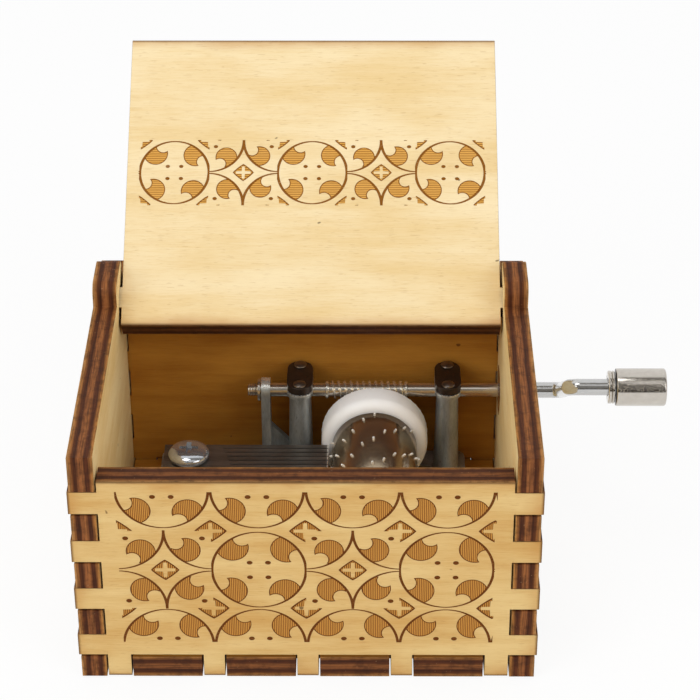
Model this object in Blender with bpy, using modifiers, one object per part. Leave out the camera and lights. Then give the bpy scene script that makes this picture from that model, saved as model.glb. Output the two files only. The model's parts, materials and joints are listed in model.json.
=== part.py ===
"""Hand-cranked music box: a finger-jointed plywood case with a hinged lid, and a comb movement inside.

Metres, +Z up. +X is to the right, where the crank is, and -Y is the front.
The origin is the centre of the case's underside. The lid is open, leaning back on its stop.
"""

import bmesh
import bpy
from math import cos, pi, radians, sin, sqrt
from mathutils import Matrix, Vector

MM = 0.001

# Case
CASE_WIDTH = 63.4 * MM  # over the outer faces of the side panels
CASE_DEPTH = 51.6 * MM  # over the outer faces of the front and back panels
SIDE_HEIGHT = 37.3 * MM
PLY = 3.5 * MM
JOINT_GAP = 0.2 * MM  # between wooden pieces that meet
PROUD_X = 0.3 * MM  # how far a finger stands out of the side panel it passes through
PROUD_Y = 0.2 * MM  # the same, at the front and the back

# Finger joints
FINGER_WIDTH = 3.6 * MM
FINGER_PITCH = 8.08 * MM
FINGER_COUNT = 4
FIRST_FINGER = 5.5 * MM  # middle of the lowest finger, above the underside
TAB_WIDTH = 9.7 * MM
TAB_PITCH = 13.1 * MM
FRONT_TABS = 4
SIDE_TABS = 3

# Lid
LID_OPEN = radians(144.2)  # from closed
LID_SET_DOWN = 0.3 * MM  # top of the closed lid below the side panels' edges
LID_SIDE_GAP = 0.35 * MM
LID_FRONT_SETBACK = 0.15 * MM
PIVOT_FROM_BACK = 5.0 * MM  # pivot axis to the back panel's inner face
TONGUE_WIDTH = 3.3 * MM
PIVOT_CLEARANCE = 0.15 * MM
STOP_GAP = 0.25 * MM

# Ears on the side panels, measured from the lid's pivot
EAR_FRONT = 4.8 * MM
EAR_BACK = 3.8 * MM
EAR_RISE = 5.5 * MM
EAR_RADIUS = 1.8 * MM

# Movement, common values
METAL_GAP = 0.15 * MM  # between metal pieces that are seated on each other
RUN_GAP = 0.1 * MM  # radial clearance of a turning fit
SEAT_GAP = 0.2 * MM  # bedplate to the wooden floor

# Crank shaft and worm
SHAFT_RADIUS = 1.05 * MM
SHAFT_FROM_BACK = 4.3 * MM  # shaft axis to the back panel's inner face
SHAFT_LEFT = -9.8 * MM
SHAFT_END_IN_WALL = 1.4 * MM  # how deep the shaft ends in the right side panel's hole
SHAFT_HOLE_RADIUS = 3.8 * MM
WORM_LEFT = 2.0 * MM
WORM_RIGHT = 14.4 * MM
WORM_PITCH = 0.935 * MM
WORM_TIP_RADIUS = 1.45 * MM
WORM_COLLAR_RADIUS = 1.35 * MM
WORM_COLLAR_LENGTH = 0.45 * MM
THREAD_ROOT_WIDTH = 0.38 * MM
THREAD_TIP_WIDTH = 0.14 * MM
KNURL_LENGTH = 1.5 * MM
RING_WIDTH = 0.4 * MM
RING_RADIUS = 1.75 * MM

# Drive gear, a crown wheel whose teeth face the worm
GEAR_TEETH = 42
GEAR_RADIUS = 8.0 * MM
GEAR_WIDTH = 4.5 * MM
GEAR_TOOTH_HEIGHT = 0.6 * MM
GEAR_TOOTH_ROOT = 0.4 * MM
GEAR_TOOTH_TIP = 0.17 * MM
GEAR_RIM_BEVEL = 0.4 * MM  # the teeth fall away down it, clear of the worm's ends
GEAR_RIM_RIDGE = 0.08 * MM  # how far a tooth still stands out on the bevel
GEAR_TOOTH_INNER = 1.0 * MM  # inward of the mesh circle
GEAR_TOOTH_OUTER = 0.15 * MM  # outward of the mesh circle, at full height
GEAR_FLOOR_GAP = 1.55 * MM
MESH_DEPTH = 0.2 * MM

# Drum
DRUM_X = 9.4 * MM
DRUM_RADIUS = 6.4 * MM
DRUM_WALL = 0.8 * MM
DRUM_MARGIN = 0.45 * MM  # past the first and last pin tracks
PIN_LENGTH = 0.42 * MM
PIN_RADIUS = 0.2 * MM
PINS_PER_TRACK = 4
AXLE_RADIUS = 0.9 * MM
END_DISC_THICKNESS = 1.2 * MM
SPIGOT_LENGTH = 1.6 * MM

# Comb
TOOTH_COUNT = 18
TOOTH_PITCH = 1.04 * MM
TOOTH_SLIT = 0.25 * MM
TOOTH_THICKNESS = 0.6 * MM
COMB_THICKNESS = 1.4 * MM
COMB_ABOVE_AXIS = 0.75 * MM  # comb's top face above the drum's axis
COMB_TIP_GAP = 0.08 * MM
LONGEST_TOOTH = 16.0 * MM
SHORTEST_TOOTH = 10.5 * MM
COMB_LENGTH = 24.6 * MM
COMB_SCREW_FROM_END = 3.8 * MM
COMB_SCREW_SPACING = 11.6 * MM
COMB_SCREW_FROM_REAR = 3.3 * MM

# Comb screws
COMB_HEAD_RADIUS = 3.1 * MM
COMB_HEAD_HEIGHT = 1.7 * MM
COMB_SHANK_RADIUS = 1.3 * MM
COMB_SCREW_LENGTH = 4.6 * MM
RECESS_WIDTH = 0.7 * MM
RECESS_LENGTH = 2.6 * MM
RECESS_DEPTH = 0.7 * MM

# Bedplate
PLATE_THICKNESS = 2.0 * MM
PLATE_MARGIN = 1.4 * MM
BLOCK_WIDTH = 7.4 * MM
POST_LEFT_X = -1.85 * MM
POST_RIGHT_X = 20.45 * MM
POST_WIDTH = 3.1 * MM
POST_DEPTH = 7.0 * MM
POST_FLARE = 0.7 * MM
POST_HEAD = 0.75 * MM  # height of the wider head under the cap
POST_ABOVE_SHAFT = 1.35 * MM
END_POST_X = -7.05 * MM
END_POST_WIDTH = 1.35 * MM
END_POST_DEPTH = 3.4 * MM
END_POST_WALL = 0.75 * MM
WEB_THICKNESS = 1.2 * MM
WEB_LOW = 2.6 * MM  # above the plate, at the bearing post
WEB_RISE = 5.7 * MM  # higher than that at the end post
BRACKET_THICKNESS = 2.2 * MM
BRACKET_WIDTH = 4.4 * MM
BRACKET_WALL = 1.1 * MM
DRUM_END_GAP = 0.9 * MM
GEAR_BACK_GAP = 0.7 * MM
PLATE_SLOT_GAP = 0.6 * MM

# Bearing caps and their rivets
CAP_WIDTH = 3.9 * MM
CAP_DEPTH = 7.9 * MM
CAP_THICKNESS = 1.15 * MM
RIVET_SPACING = 5.5 * MM
RIVET_HEAD_RADIUS = 1.0 * MM
RIVET_HEAD_HEIGHT = 0.45 * MM
RIVET_SHANK_RADIUS = 0.45 * MM
RIVET_REACH = 0.7 * MM  # into the post

# Crank handle and knob
WIRE_RADIUS = 1.2 * MM
ARM_OFFSET = 6.0 * MM  # arm's centre line outside the right side panel
ARM_LENGTH = 16.0 * MM
ARM_LIFT = radians(34.8)  # arm above the horizontal, pointing forward
BEND_RADIUS = 1.4 * MM
THREAD_SPIGOT_RADIUS = 0.55 * MM
THREAD_SPIGOT_LENGTH = 2.6 * MM
COLLAR_FROM_ARM = 5.4 * MM
COLLAR_WIDTH = 0.9 * MM
COLLAR_RADIUS = 2.4 * MM
KNOB_END_GAP = 0.25 * MM
KNOB_RADIUS = 2.74 * MM
KNOB_LENGTH = 7.2 * MM
KNOB_RECESS_RADIUS = 1.95 * MM
KNOB_RECESS_DEPTH = 0.9 * MM
KNOB_CHAMFER = 0.3 * MM
PEEN_RADIUS = 1.55 * MM
PEEN_HEIGHT = 0.45 * MM

# Screws that hold the movement to the bottom panel
BASE_SHANK_RADIUS = 1.1 * MM
BASE_HEAD_RADIUS = 2.2 * MM
BASE_SCREW_REACH = 3.2 * MM  # into the bedplate and its bosses
BOSS_RADIUS = 2.5 * MM
BOSS_HEIGHT = 2.0 * MM

# Places worked out from the sizes above
INNER_X = CASE_WIDTH / 2 - PLY
INNER_Y = CASE_DEPTH / 2 - PLY
FRONT_HEIGHT = SIDE_HEIGHT - LID_SET_DOWN - PLY - JOINT_GAP
PIVOT_Y = INNER_Y - PIVOT_FROM_BACK
PIVOT_Z = FRONT_HEIGHT + JOINT_GAP + PLY / 2
PIVOT_HOLE_RADIUS = sqrt((TONGUE_WIDTH / 2) ** 2 + (PLY / 2) ** 2) + PIVOT_CLEARANCE
LID_TAIL = sqrt((PIVOT_FROM_BACK - JOINT_GAP) ** 2 - (PLY / 2) ** 2)
LID_REACH = PIVOT_Y + CASE_DEPTH / 2 - LID_FRONT_SETBACK
MESH_RADIUS = GEAR_TEETH * WORM_PITCH / (2 * pi)
DRUM_Z = PLY + GEAR_FLOOR_GAP + GEAR_RADIUS
SHAFT_Y = INNER_Y - SHAFT_FROM_BACK
SHAFT_Z = DRUM_Z + MESH_RADIUS
SHAFT_RIGHT = INNER_X + SHAFT_END_IN_WALL
GEAR_TIP_Y = SHAFT_Y - WORM_TIP_RADIUS + MESH_DEPTH
GEAR_BACK_Y = GEAR_TIP_Y - GEAR_TOOTH_HEIGHT
GEAR_FRONT_Y = GEAR_BACK_Y - GEAR_WIDTH
DRUM_REAR_Y = GEAR_FRONT_Y - METAL_GAP
DRUM_LENGTH = (TOOTH_COUNT - 1) * TOOTH_PITCH + 2 * (DRUM_MARGIN + PIN_RADIUS)
DRUM_FRONT_Y = DRUM_REAR_Y - DRUM_LENGTH
FIRST_TRACK_Y = DRUM_REAR_Y - DRUM_MARGIN - PIN_RADIUS
PIN_CIRCLE = DRUM_RADIUS + PIN_LENGTH
COMB_TOP_Z = DRUM_Z + COMB_ABOVE_AXIS
TIP_LOW = COMB_ABOVE_AXIS - TOOTH_THICKNESS  # underside of a tooth above the drum's axis
COMB_TIP_X = DRUM_X - sqrt((PIN_CIRCLE + COMB_TIP_GAP) ** 2 - TIP_LOW**2)
COMB_LEFT_X = COMB_TIP_X - COMB_LENGTH
COMB_REAR_Y = FIRST_TRACK_Y + TOOTH_PITCH / 2 - TOOTH_SLIT / 2
COMB_FRONT_Y = COMB_REAR_Y - TOOTH_COUNT * TOOTH_PITCH + TOOTH_SLIT
COMB_SCREW_X = COMB_LEFT_X + COMB_SCREW_FROM_END
COMB_SCREW_YS = [COMB_REAR_Y - COMB_SCREW_FROM_REAR - COMB_SCREW_SPACING * i for i in range(2)]
PLATE_LOW_Z = PLY + SEAT_GAP
PLATE_TOP_Z = PLATE_LOW_Z + PLATE_THICKNESS
BLOCK_TOP_Z = COMB_TOP_Z - COMB_THICKNESS - METAL_GAP
POST_TOP_Z = SHAFT_Z + POST_ABOVE_SHAFT
CAP_LOW_Z = POST_TOP_Z + METAL_GAP
CAP_TOP_Z = CAP_LOW_Z + CAP_THICKNESS
BRACKET_FRONT_Y = DRUM_FRONT_Y - DRUM_END_GAP - BRACKET_THICKNESS
BRACKET_REAR_Y = GEAR_TIP_Y + GEAR_BACK_GAP
PLATE_FRONT_Y = BRACKET_FRONT_Y
PLATE_REAR_Y = SHAFT_Y + POST_DEPTH / 2
PLATE_LEFT_X = COMB_LEFT_X - PLATE_MARGIN
PLATE_RIGHT_X = POST_RIGHT_X + POST_WIDTH / 2 + PLATE_MARGIN
ARM_X = CASE_WIDTH / 2 + ARM_OFFSET
ARM_DIRECTION = Vector((0, -cos(ARM_LIFT), sin(ARM_LIFT)))
KNOB_AXIS_Y = SHAFT_Y + ARM_LENGTH * ARM_DIRECTION.y
KNOB_AXIS_Z = SHAFT_Z + ARM_LENGTH * ARM_DIRECTION.z
COLLAR_X = ARM_X + COLLAR_FROM_ARM
KNOB_X = COLLAR_X + COLLAR_WIDTH + KNOB_END_GAP
BASE_SCREWS = [
    (PLATE_LEFT_X + BOSS_RADIUS + PLATE_MARGIN, PLATE_REAR_Y - BOSS_RADIUS - PLATE_MARGIN),
    (COMB_SCREW_X, (COMB_SCREW_YS[0] + COMB_SCREW_YS[1]) / 2),
    (POST_RIGHT_X, PLATE_FRONT_Y + BOSS_RADIUS + PLATE_MARGIN),
]

# Materials: colour, roughness, metallic
PLYWOOD = ("plywood", (0.78, 0.58, 0.33), 0.6, 0.0)
PALE_PLYWOOD = ("pale_plywood", (0.87, 0.72, 0.46), 0.6, 0.0)
CAST_ZINC = ("cast_zinc", (0.42, 0.44, 0.44), 0.45, 0.9)
DARK_STEEL = ("dark_steel", (0.05, 0.045, 0.045), 0.25, 0.9)
BRIGHT_STEEL = ("bright_steel", (0.62, 0.6, 0.58), 0.25, 1.0)
CHROME = ("chrome", (0.8, 0.8, 0.8), 0.08, 1.0)
NYLON = ("nylon", (0.9, 0.9, 0.91), 0.4, 0.0)
COMB_STEEL = ("comb_steel", (0.13, 0.12, 0.115), 0.35, 0.9)
DRUM_STEEL = ("drum_steel", (0.36, 0.33, 0.29), 0.2, 1.0)


def clear_scene():
    for found in list(bpy.data.objects):
        bpy.data.objects.remove(found, do_unlink=True)


def new_collection(name):
    collection = bpy.data.collections.new(name)
    bpy.context.scene.collection.children.link(collection)
    return collection


def principled(name, colour, roughness, metallic):
    """One material of each kind, made the first time it is asked for."""
    made = bpy.data.materials.get(name)
    if made is None:
        made = bpy.data.materials.new(name)
        made.use_nodes = True
        shader = made.node_tree.nodes["Principled BSDF"]
        shader.inputs["Base Color"].default_value = (*colour, 1)
        shader.inputs["Roughness"].default_value = roughness
        shader.inputs["Metallic"].default_value = metallic
    return made


clear_scene()
PARTS = new_collection("music_box")
CUTTERS = new_collection("cutters")
CUTTERS.hide_render = True


def add_object(name, data, finish=None, parent=None):
    """A part when it has a finish, and a cutter when it has none."""
    made = bpy.data.objects.new(name, data)
    if finish is None:
        CUTTERS.objects.link(made)
        made.hide_render = True
        made.display_type = "WIRE"
        return made
    PARTS.objects.link(made)
    data.materials.append(principled(*finish))
    if parent is not None:
        made.parent = parent
        made.matrix_parent_inverse = parent.matrix_world.inverted()
    return made


def pivot(name, place):
    """An empty on a joint's axis."""
    empty = bpy.data.objects.new(name, None)
    PARTS.objects.link(empty)
    empty.location = place
    empty.empty_display_size = 0.004
    bpy.context.view_layer.update()
    return empty


def mesh_object(name, mesh_builder, finish=None, parent=None):
    mesh = bpy.data.meshes.new(name)
    shape = bmesh.new()
    mesh_builder(shape)
    bmesh.ops.recalc_face_normals(shape, faces=shape.faces)
    shape.to_mesh(mesh)
    shape.free()
    return add_object(name, mesh, finish, parent)


def blocks(name, corners, finish=None, parent=None):
    """One mesh of separate blocks, each between two corners."""

    def build(shape):
        for low, high in corners:
            size = Vector(high) - Vector(low)
            middle = (Vector(high) + Vector(low)) / 2
            fit = Matrix.Translation(middle) @ Matrix.Diagonal((*size, 1))
            bmesh.ops.create_cube(shape, size=1, matrix=fit)

    return mesh_object(name, build, finish, parent)


def box(name, low, high, finish=None, parent=None):
    return blocks(name, [(low, high)], finish, parent)


AXIS_TURNS = {
    "X": Matrix.Rotation(pi / 2, 4, "Y"),
    "-Y": Matrix.Rotation(pi / 2, 4, "X"),
    "Y": Matrix.Rotation(-pi / 2, 4, "X"),
    "Z": Matrix.Identity(4),
}


def rod(name, start, axis, length, radius, finish=None, parent=None, sides=24):
    """A plain cylinder that runs from start along axis."""

    def build(shape):
        turn = Matrix.Translation(Vector(start)) @ AXIS_TURNS[axis]
        bmesh.ops.create_cone(
            shape,
            cap_ends=True,
            segments=sides,
            radius1=radius,
            radius2=radius,
            depth=length,
            matrix=turn @ Matrix.Translation((0, 0, length / 2)),
        )

    return mesh_object(name, build, finish, parent)


def turned(name, profile, start, axis, finish=None, parent=None, sides=32, ring=False):
    """A turned piece. The profile holds (radius, distance along the axis), from the far end to the near end
    down its outer side. A ring's profile closes on itself and stays off the axis."""
    mesh = bpy.data.meshes.new(name)
    edges = [(i, i + 1) for i in range(len(profile) - 1)]
    if ring:
        edges.append((len(profile) - 1, 0))
    mesh.from_pydata([(radius, 0, along) for radius, along in profile], edges, [])
    made = add_object(name, mesh, finish)
    screw = made.modifiers.new("turn", "SCREW")
    screw.steps = sides
    screw.render_steps = sides
    screw.use_merge_vertices = True
    screw.merge_threshold = 0.000001
    made.matrix_world = Matrix.Translation(Vector(start)) @ AXIS_TURNS[axis]
    if parent is not None:
        world = made.matrix_world.copy()
        made.parent = parent
        made.matrix_parent_inverse = parent.matrix_world.inverted()
        made.matrix_world = world
    return made


PLANES = {
    "XZ": Matrix.Rotation(pi / 2, 4, "X"),
    "YZ": Matrix(((0, 0, 1, 0), (1, 0, 0, 0), (0, 1, 0, 0), (0, 0, 0, 1))),
    "XY": Matrix.Identity(4),
}


def plate(name, outline, holes, plane, middle, thickness, finish=None, parent=None):
    """A flat piece from an outline and round or polygonal holes in a plane. middle is where the plate's
    centre plane lies, as a point of the world."""
    curve = bpy.data.curves.new(name, "CURVE")
    curve.dimensions = "2D"
    curve.fill_mode = "BOTH"
    curve.extrude = thickness / 2
    for loop in [outline, *holes]:
        spline = curve.splines.new("POLY")
        spline.points.add(len(loop) - 1)
        for point, (across, up) in zip(spline.points, loop):
            point.co = (across, up, 0, 1)
        spline.use_cyclic_u = True
    made = add_object(name, curve, finish)
    made.matrix_world = Matrix.Translation(Vector(middle)) @ PLANES[plane]
    if parent is not None:
        world = made.matrix_world.copy()
        made.parent = parent
        made.matrix_parent_inverse = parent.matrix_world.inverted()
        made.matrix_world = world
    return made


def circle(across, up, radius, sides=32):
    turns = [2 * pi * i / sides for i in range(sides)]
    return [(across + radius * cos(turn), up + radius * sin(turn)) for turn in turns]


def obround(width, length, sides=8):
    """A slot shape in plan, width across X and length along Y, centred."""
    radius = width / 2
    straight = length / 2 - radius
    points = []
    for side in (1, -1):
        for i in range(sides + 1):
            angle = pi * i / sides
            points.append((side * radius * cos(angle), side * (straight + radius * sin(angle))))
    return points


def as_mesh(made):
    """A curve object made into a mesh with closed caps, so that it can be cut or joined."""
    bpy.context.view_layer.update()
    evaluated = made.evaluated_get(bpy.context.evaluated_depsgraph_get())
    mesh = bpy.data.meshes.new_from_object(evaluated)
    mesh.name = made.name
    shape = bmesh.new()
    shape.from_mesh(mesh)
    bmesh.ops.remove_doubles(shape, verts=shape.verts, dist=0.000001)
    bmesh.ops.recalc_face_normals(shape, faces=shape.faces)
    shape.to_mesh(mesh)
    shape.free()
    name = made.name
    world = made.matrix_world.copy()
    parent = made.parent
    homes = list(made.users_collection)
    hidden = made.hide_render
    bpy.data.objects.remove(made, do_unlink=True)
    solid = bpy.data.objects.new(name, mesh)
    for home in homes:
        home.objects.link(solid)
    solid.hide_render = hidden
    if hidden:
        solid.display_type = "WIRE"
    if parent is not None:
        solid.parent = parent
        solid.matrix_parent_inverse = parent.matrix_world.inverted()
    solid.matrix_world = world
    return solid


def combine(made, other, operation):
    modifier = made.modifiers.new(operation.lower(), "BOOLEAN")
    modifier.operation = operation
    modifier.object = other
    modifier.solver = "EXACT"


def join(made, *others):
    for other in others:
        combine(made, other, "UNION")


def cut(made, *others):
    for other in others:
        combine(made, other, "DIFFERENCE")


def smooth(made, angle=35):
    """Round pieces are shaded smooth, with sharp edges kept."""
    if made.type == "MESH":
        made.data.shade_smooth()
        made.data.set_sharp_from_angle(angle=radians(angle))


def stepped(start, end, base, tip, spans):
    """An edge from start to end that steps from base out to tip over each span, as (along, across)."""
    forward = end > start
    points = [(start, base)]
    for low, high in sorted(spans, reverse=not forward):
        first, last = (low, high) if forward else (high, low)
        points += [(first, base), (first, tip), (last, tip), (last, base)]
    points.append((end, base))
    return points


def finger_spans(gap=0.0):
    """Heights of the fingers of the front and back panels. A gap widens them into notches."""
    half = FINGER_WIDTH / 2 + gap
    middles = [FIRST_FINGER + i * FINGER_PITCH for i in range(FINGER_COUNT)]
    return [(middle - half, middle + half) for middle in middles]


def tab_spans(count, gap=0.0):
    """Where the bottom panel's tabs lie along an edge."""
    half = TAB_WIDTH / 2 + gap
    first = -(count - 1) / 2 * TAB_PITCH
    return [(first + i * TAB_PITCH - half, first + i * TAB_PITCH + half) for i in range(count)]


def end_panel(name, middle_y, height):
    """The front or the back panel."""
    edge = INNER_X - JOINT_GAP
    tip = CASE_WIDTH / 2 + PROUD_X
    bottom = stepped(-edge, edge, 0, PLY + JOINT_GAP, tab_spans(FRONT_TABS, JOINT_GAP))
    right = [(across, up) for up, across in stepped(0, height, edge, tip, finger_spans())]
    left = [(-across, up) for up, across in stepped(height, 0, edge, tip, finger_spans())]
    return plate(name, tidy(bottom + right + left), [], "XZ", (0, middle_y, 0), PLY, PLYWOOD)


def tidy(points):
    """An outline without points that repeat the one before."""
    kept = []
    for point in points:
        if not kept or (Vector(point) - Vector(kept[-1])).length > 1e-7:
            kept.append(point)
    if (Vector(kept[0]) - Vector(kept[-1])).length <= 1e-7:
        kept.pop()
    return kept


def rounded_corner(corner, entry, leave, radius, steps=6):
    """An arc in place of a corner, where entry and leave are unit directions into and out of it."""
    entry, leave = Vector(entry), Vector(leave)
    start = Vector(corner) - entry * radius
    middle = start + leave * radius
    return [
        tuple(middle - leave * radius * cos(pi / 2 * i / steps) + entry * radius * sin(pi / 2 * i / steps))
        for i in range(steps + 1)
    ]


def side_outline():
    """A side panel's outline as (y, z), with the ear that carries the lid."""
    edge = INNER_Y - JOINT_GAP
    tip = CASE_DEPTH / 2 + PROUD_Y
    notches = finger_spans(JOINT_GAP)
    bottom = stepped(-tip, tip, 0, PLY + JOINT_GAP, tab_spans(SIDE_TABS, JOINT_GAP))
    rear = [(across, up) for up, across in stepped(0, SIDE_HEIGHT, tip, edge, notches)]
    front = [(-across, up) for up, across in stepped(SIDE_HEIGHT, 0, tip, edge, notches)]
    ear_top = PIVOT_Z + EAR_RISE
    ear_back = PIVOT_Y + EAR_BACK
    ear_front = PIVOT_Y - EAR_FRONT
    ear = [(ear_back, SIDE_HEIGHT)]
    ear += rounded_corner((ear_back, ear_top), (0, 1), (-1, 0), EAR_RADIUS)
    ear += rounded_corner((ear_front, ear_top), (-1, 0), (0, -1), EAR_RADIUS)
    ear += [(ear_front, SIDE_HEIGHT)]
    return tidy(bottom + rear + ear + front)


def side_panel(name, side):
    holes = [circle(PIVOT_Y, PIVOT_Z, PIVOT_HOLE_RADIUS)]
    if side > 0:
        holes.append(circle(SHAFT_Y, SHAFT_Z, SHAFT_HOLE_RADIUS))
    return plate(name, side_outline(), holes, "YZ", (side * (CASE_WIDTH / 2 - PLY / 2), 0, 0), PLY, PLYWOOD)


def bottom_panel():
    """A plate drilled from below for the movement's screws, with tabs along its four edges."""
    edge_x = INNER_X - JOINT_GAP
    edge_y = INNER_Y - JOINT_GAP
    tip_x = CASE_WIDTH / 2
    tip_y = CASE_DEPTH / 2 + PROUD_Y
    made = box("bottom_panel", (-edge_x, -edge_y, 0), (edge_x, edge_y, PLY), PLYWOOD)
    for i, place in enumerate(BASE_SCREWS):
        cut(made, screw_hole(f"floor_screw_hole_{i}", place))
    root = 1 * MM
    tabs = []
    for side in (-1, 1):
        for low, high in tab_spans(FRONT_TABS):
            near, far = sorted((side * (edge_y - root), side * tip_y))
            tabs.append(((low, near, 0), (high, far, PLY)))
        for low, high in tab_spans(SIDE_TABS):
            near, far = sorted((side * (edge_x - root), side * tip_x))
            tabs.append(((near, low, 0), (far, high, PLY)))
    join(made, blocks("floor_tabs", tabs))
    return made


def back_height():
    """The back panel's inner top edge is the stop that the open lid leans on."""
    along = -cos(LID_OPEN)
    rise = sin(LID_OPEN)
    reach = (PIVOT_FROM_BACK - (PLY / 2 + STOP_GAP) * rise) / along
    return PIVOT_Z + reach * rise - (PLY / 2 + STOP_GAP) * along


def lid(parent):
    """The lid lies in its own plane, closed, with a tongue at each side, and is then turned open."""
    edge = INNER_X - LID_SIDE_GAP
    tip = CASE_WIDTH / 2 - PROUD_X
    half = TONGUE_WIDTH / 2
    right = [(across, along) for along, across in stepped(-LID_REACH, LID_TAIL, edge, tip, [(-half, half)])]
    left = [(-across, along) for along, across in stepped(LID_TAIL, -LID_REACH, edge, tip, [(-half, half)])]
    made = plate("lid", tidy(right + left), [], "XY", (0, 0, 0), PLY, PALE_PLYWOOD)
    made.parent = parent
    made.matrix_world = Matrix.Translation((0, PIVOT_Y, PIVOT_Z)) @ Matrix.Rotation(-LID_OPEN, 4, "X")
    return made


def screw_hole(name, place):
    """A countersunk hole from below, for a movement screw."""
    radius = BASE_SHANK_RADIUS + METAL_GAP
    head = BASE_HEAD_RADIUS + 2 * METAL_GAP
    below = 1 * MM
    top = PLY + below
    profile = [(0, top), (radius, top), (radius, head - radius), (head, 0), (head, -below), (0, -below)]
    return turned(name, profile, (*place, 0), "Z", sides=24)


def base_screw(name, place):
    """A countersunk screw from below, its head just inside the panel."""
    radius = BASE_SHANK_RADIUS
    head = BASE_HEAD_RADIUS
    sunk = METAL_GAP
    top = PLATE_LOW_Z + BASE_SCREW_REACH
    profile = [(0, top), (radius * 0.6, top), (radius, top - radius * 0.6), (radius, sunk + head - radius)]
    profile += [(head, sunk), (0, sunk)]
    made = turned(name, profile, (*place, 0), "Z", BRIGHT_STEEL, sides=20)
    cut(made, *cross_recess(name, (*place, sunk), -1, 0.9 * MM, 2.4 * MM, 0.5 * MM))
    return made


def cross_recess(name, place, side, depth, length, width):
    """Two crossed slots that open towards side, +1 for up and -1 for down."""
    x, y, z = place
    near, far = z + side * depth, z - side * depth
    low, high = min(near, far), max(near, far)
    return [
        box(f"{name}_slot_x", (x - length / 2, y - width / 2, low), (x + length / 2, y + width / 2, high)),
        box(f"{name}_slot_y", (x - width / 2, y - length / 2, low), (x + width / 2, y + length / 2, high)),
    ]


def comb_screw(name, y):
    """A round-headed screw that clamps the comb to its block."""
    seat = COMB_TOP_Z + METAL_GAP
    radius, height = COMB_HEAD_RADIUS, COMB_HEAD_HEIGHT
    dome = radius * 0.35
    profile = [(0, seat + height)]
    profile += [
        (radius - dome + dome * sin(pi / 2 * i / 5), seat + height - dome * (1 - cos(pi / 2 * i / 5)))
        for i in range(6)
    ]
    profile += [(radius, seat), (COMB_SHANK_RADIUS, seat), (COMB_SHANK_RADIUS, seat - COMB_SCREW_LENGTH)]
    profile += [(0, seat - COMB_SCREW_LENGTH)]
    made = turned(name, profile, (COMB_SCREW_X, y, 0), "Z", CHROME)
    place = (COMB_SCREW_X, y, seat + height)
    cut(made, *cross_recess(name, place, 1, RECESS_DEPTH, RECESS_LENGTH, RECESS_WIDTH))
    return made


def comb():
    """The comb: a thick root and 18 tuned teeth, longest at the rear."""
    rear, front = COMB_REAR_Y, COMB_FRONT_Y
    outline = [(COMB_LEFT_X, rear), (COMB_LEFT_X, front)]
    for i in reversed(range(TOOTH_COUNT)):
        share = i / (TOOTH_COUNT - 1)
        length = LONGEST_TOOTH + (SHORTEST_TOOTH - LONGEST_TOOTH) * share
        middle = FIRST_TRACK_Y - i * TOOTH_PITCH
        half = (TOOTH_PITCH - TOOTH_SLIT) / 2
        root = COMB_TIP_X - length
        outline += [(root, middle - half), (COMB_TIP_X, middle - half), (COMB_TIP_X, middle + half)]
        outline += [(root, middle + half)]
    outline = [point for i, point in enumerate(outline) if i not in (2, len(outline) - 1)]
    centre = (0, 0, COMB_TOP_Z - COMB_THICKNESS / 2)
    holes = [circle(COMB_SCREW_X, y, COMB_SHANK_RADIUS + METAL_GAP, 24) for y in COMB_SCREW_YS]
    made = as_mesh(plate("comb", outline, holes, "XY", centre, COMB_THICKNESS, COMB_STEEL))
    slack = 1 * MM
    relief = plate(
        "tooth_relief",
        [
            (COMB_TIP_X - LONGEST_TOOTH, rear + slack),
            (COMB_TIP_X - SHORTEST_TOOTH, front - slack),
            (COMB_TIP_X + slack, front - slack),
            (COMB_TIP_X + slack, rear + slack),
        ],
        [],
        "XY",
        (0, 0, COMB_TOP_Z - TOOTH_THICKNESS - COMB_THICKNESS / 2),
        COMB_THICKNESS,
    )
    cut(made, as_mesh(relief))
    return made


def post(name, x, top):
    """A cast post, wider at its foot."""
    foot = PLATE_TOP_Z - PLATE_THICKNESS / 2

    def build(shape):
        for z, flare in ((foot, POST_FLARE), (top - POST_HEAD / 2, 0)):
            for px, py in obround(POST_WIDTH + flare, POST_DEPTH, 6):
                shape.verts.new((x + px, SHAFT_Y + py, z))
        bmesh.ops.convex_hull(shape, input=shape.verts)

    made = mesh_object(name, build)
    middle = (x, SHAFT_Y, top - POST_HEAD / 2)
    join(made, as_mesh(plate(f"{name}_head", obround(CAP_WIDTH, CAP_DEPTH), [], "XY", middle, POST_HEAD)))
    return made


def end_post():
    """The thin post that steadies the shaft's left end, with a round eye at its top."""
    foot = PLATE_TOP_Z - PLATE_THICKNESS / 2
    eye = SHAFT_RADIUS + RUN_GAP + END_POST_WALL
    half = END_POST_DEPTH / 2
    arc = [(SHAFT_Y + eye * cos(pi * i / 10), SHAFT_Z + eye * sin(pi * i / 10)) for i in range(11)]
    outline = [(SHAFT_Y - half, foot), (SHAFT_Y + half, foot), *arc]
    return as_mesh(plate("end_post", outline, [], "YZ", (END_POST_X, 0, 0), END_POST_WIDTH))


def web():
    """The sloping web from the end post to the left bearing post."""
    foot = PLATE_TOP_Z - PLATE_THICKNESS / 2
    left = END_POST_X
    right = POST_LEFT_X
    low = PLATE_TOP_Z + WEB_LOW
    outline = [(left, foot), (right, foot), (right, low), (left, low + WEB_RISE)]
    return as_mesh(plate("post_web", outline, [], "XZ", (0, SHAFT_Y, 0), WEB_THICKNESS))


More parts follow.
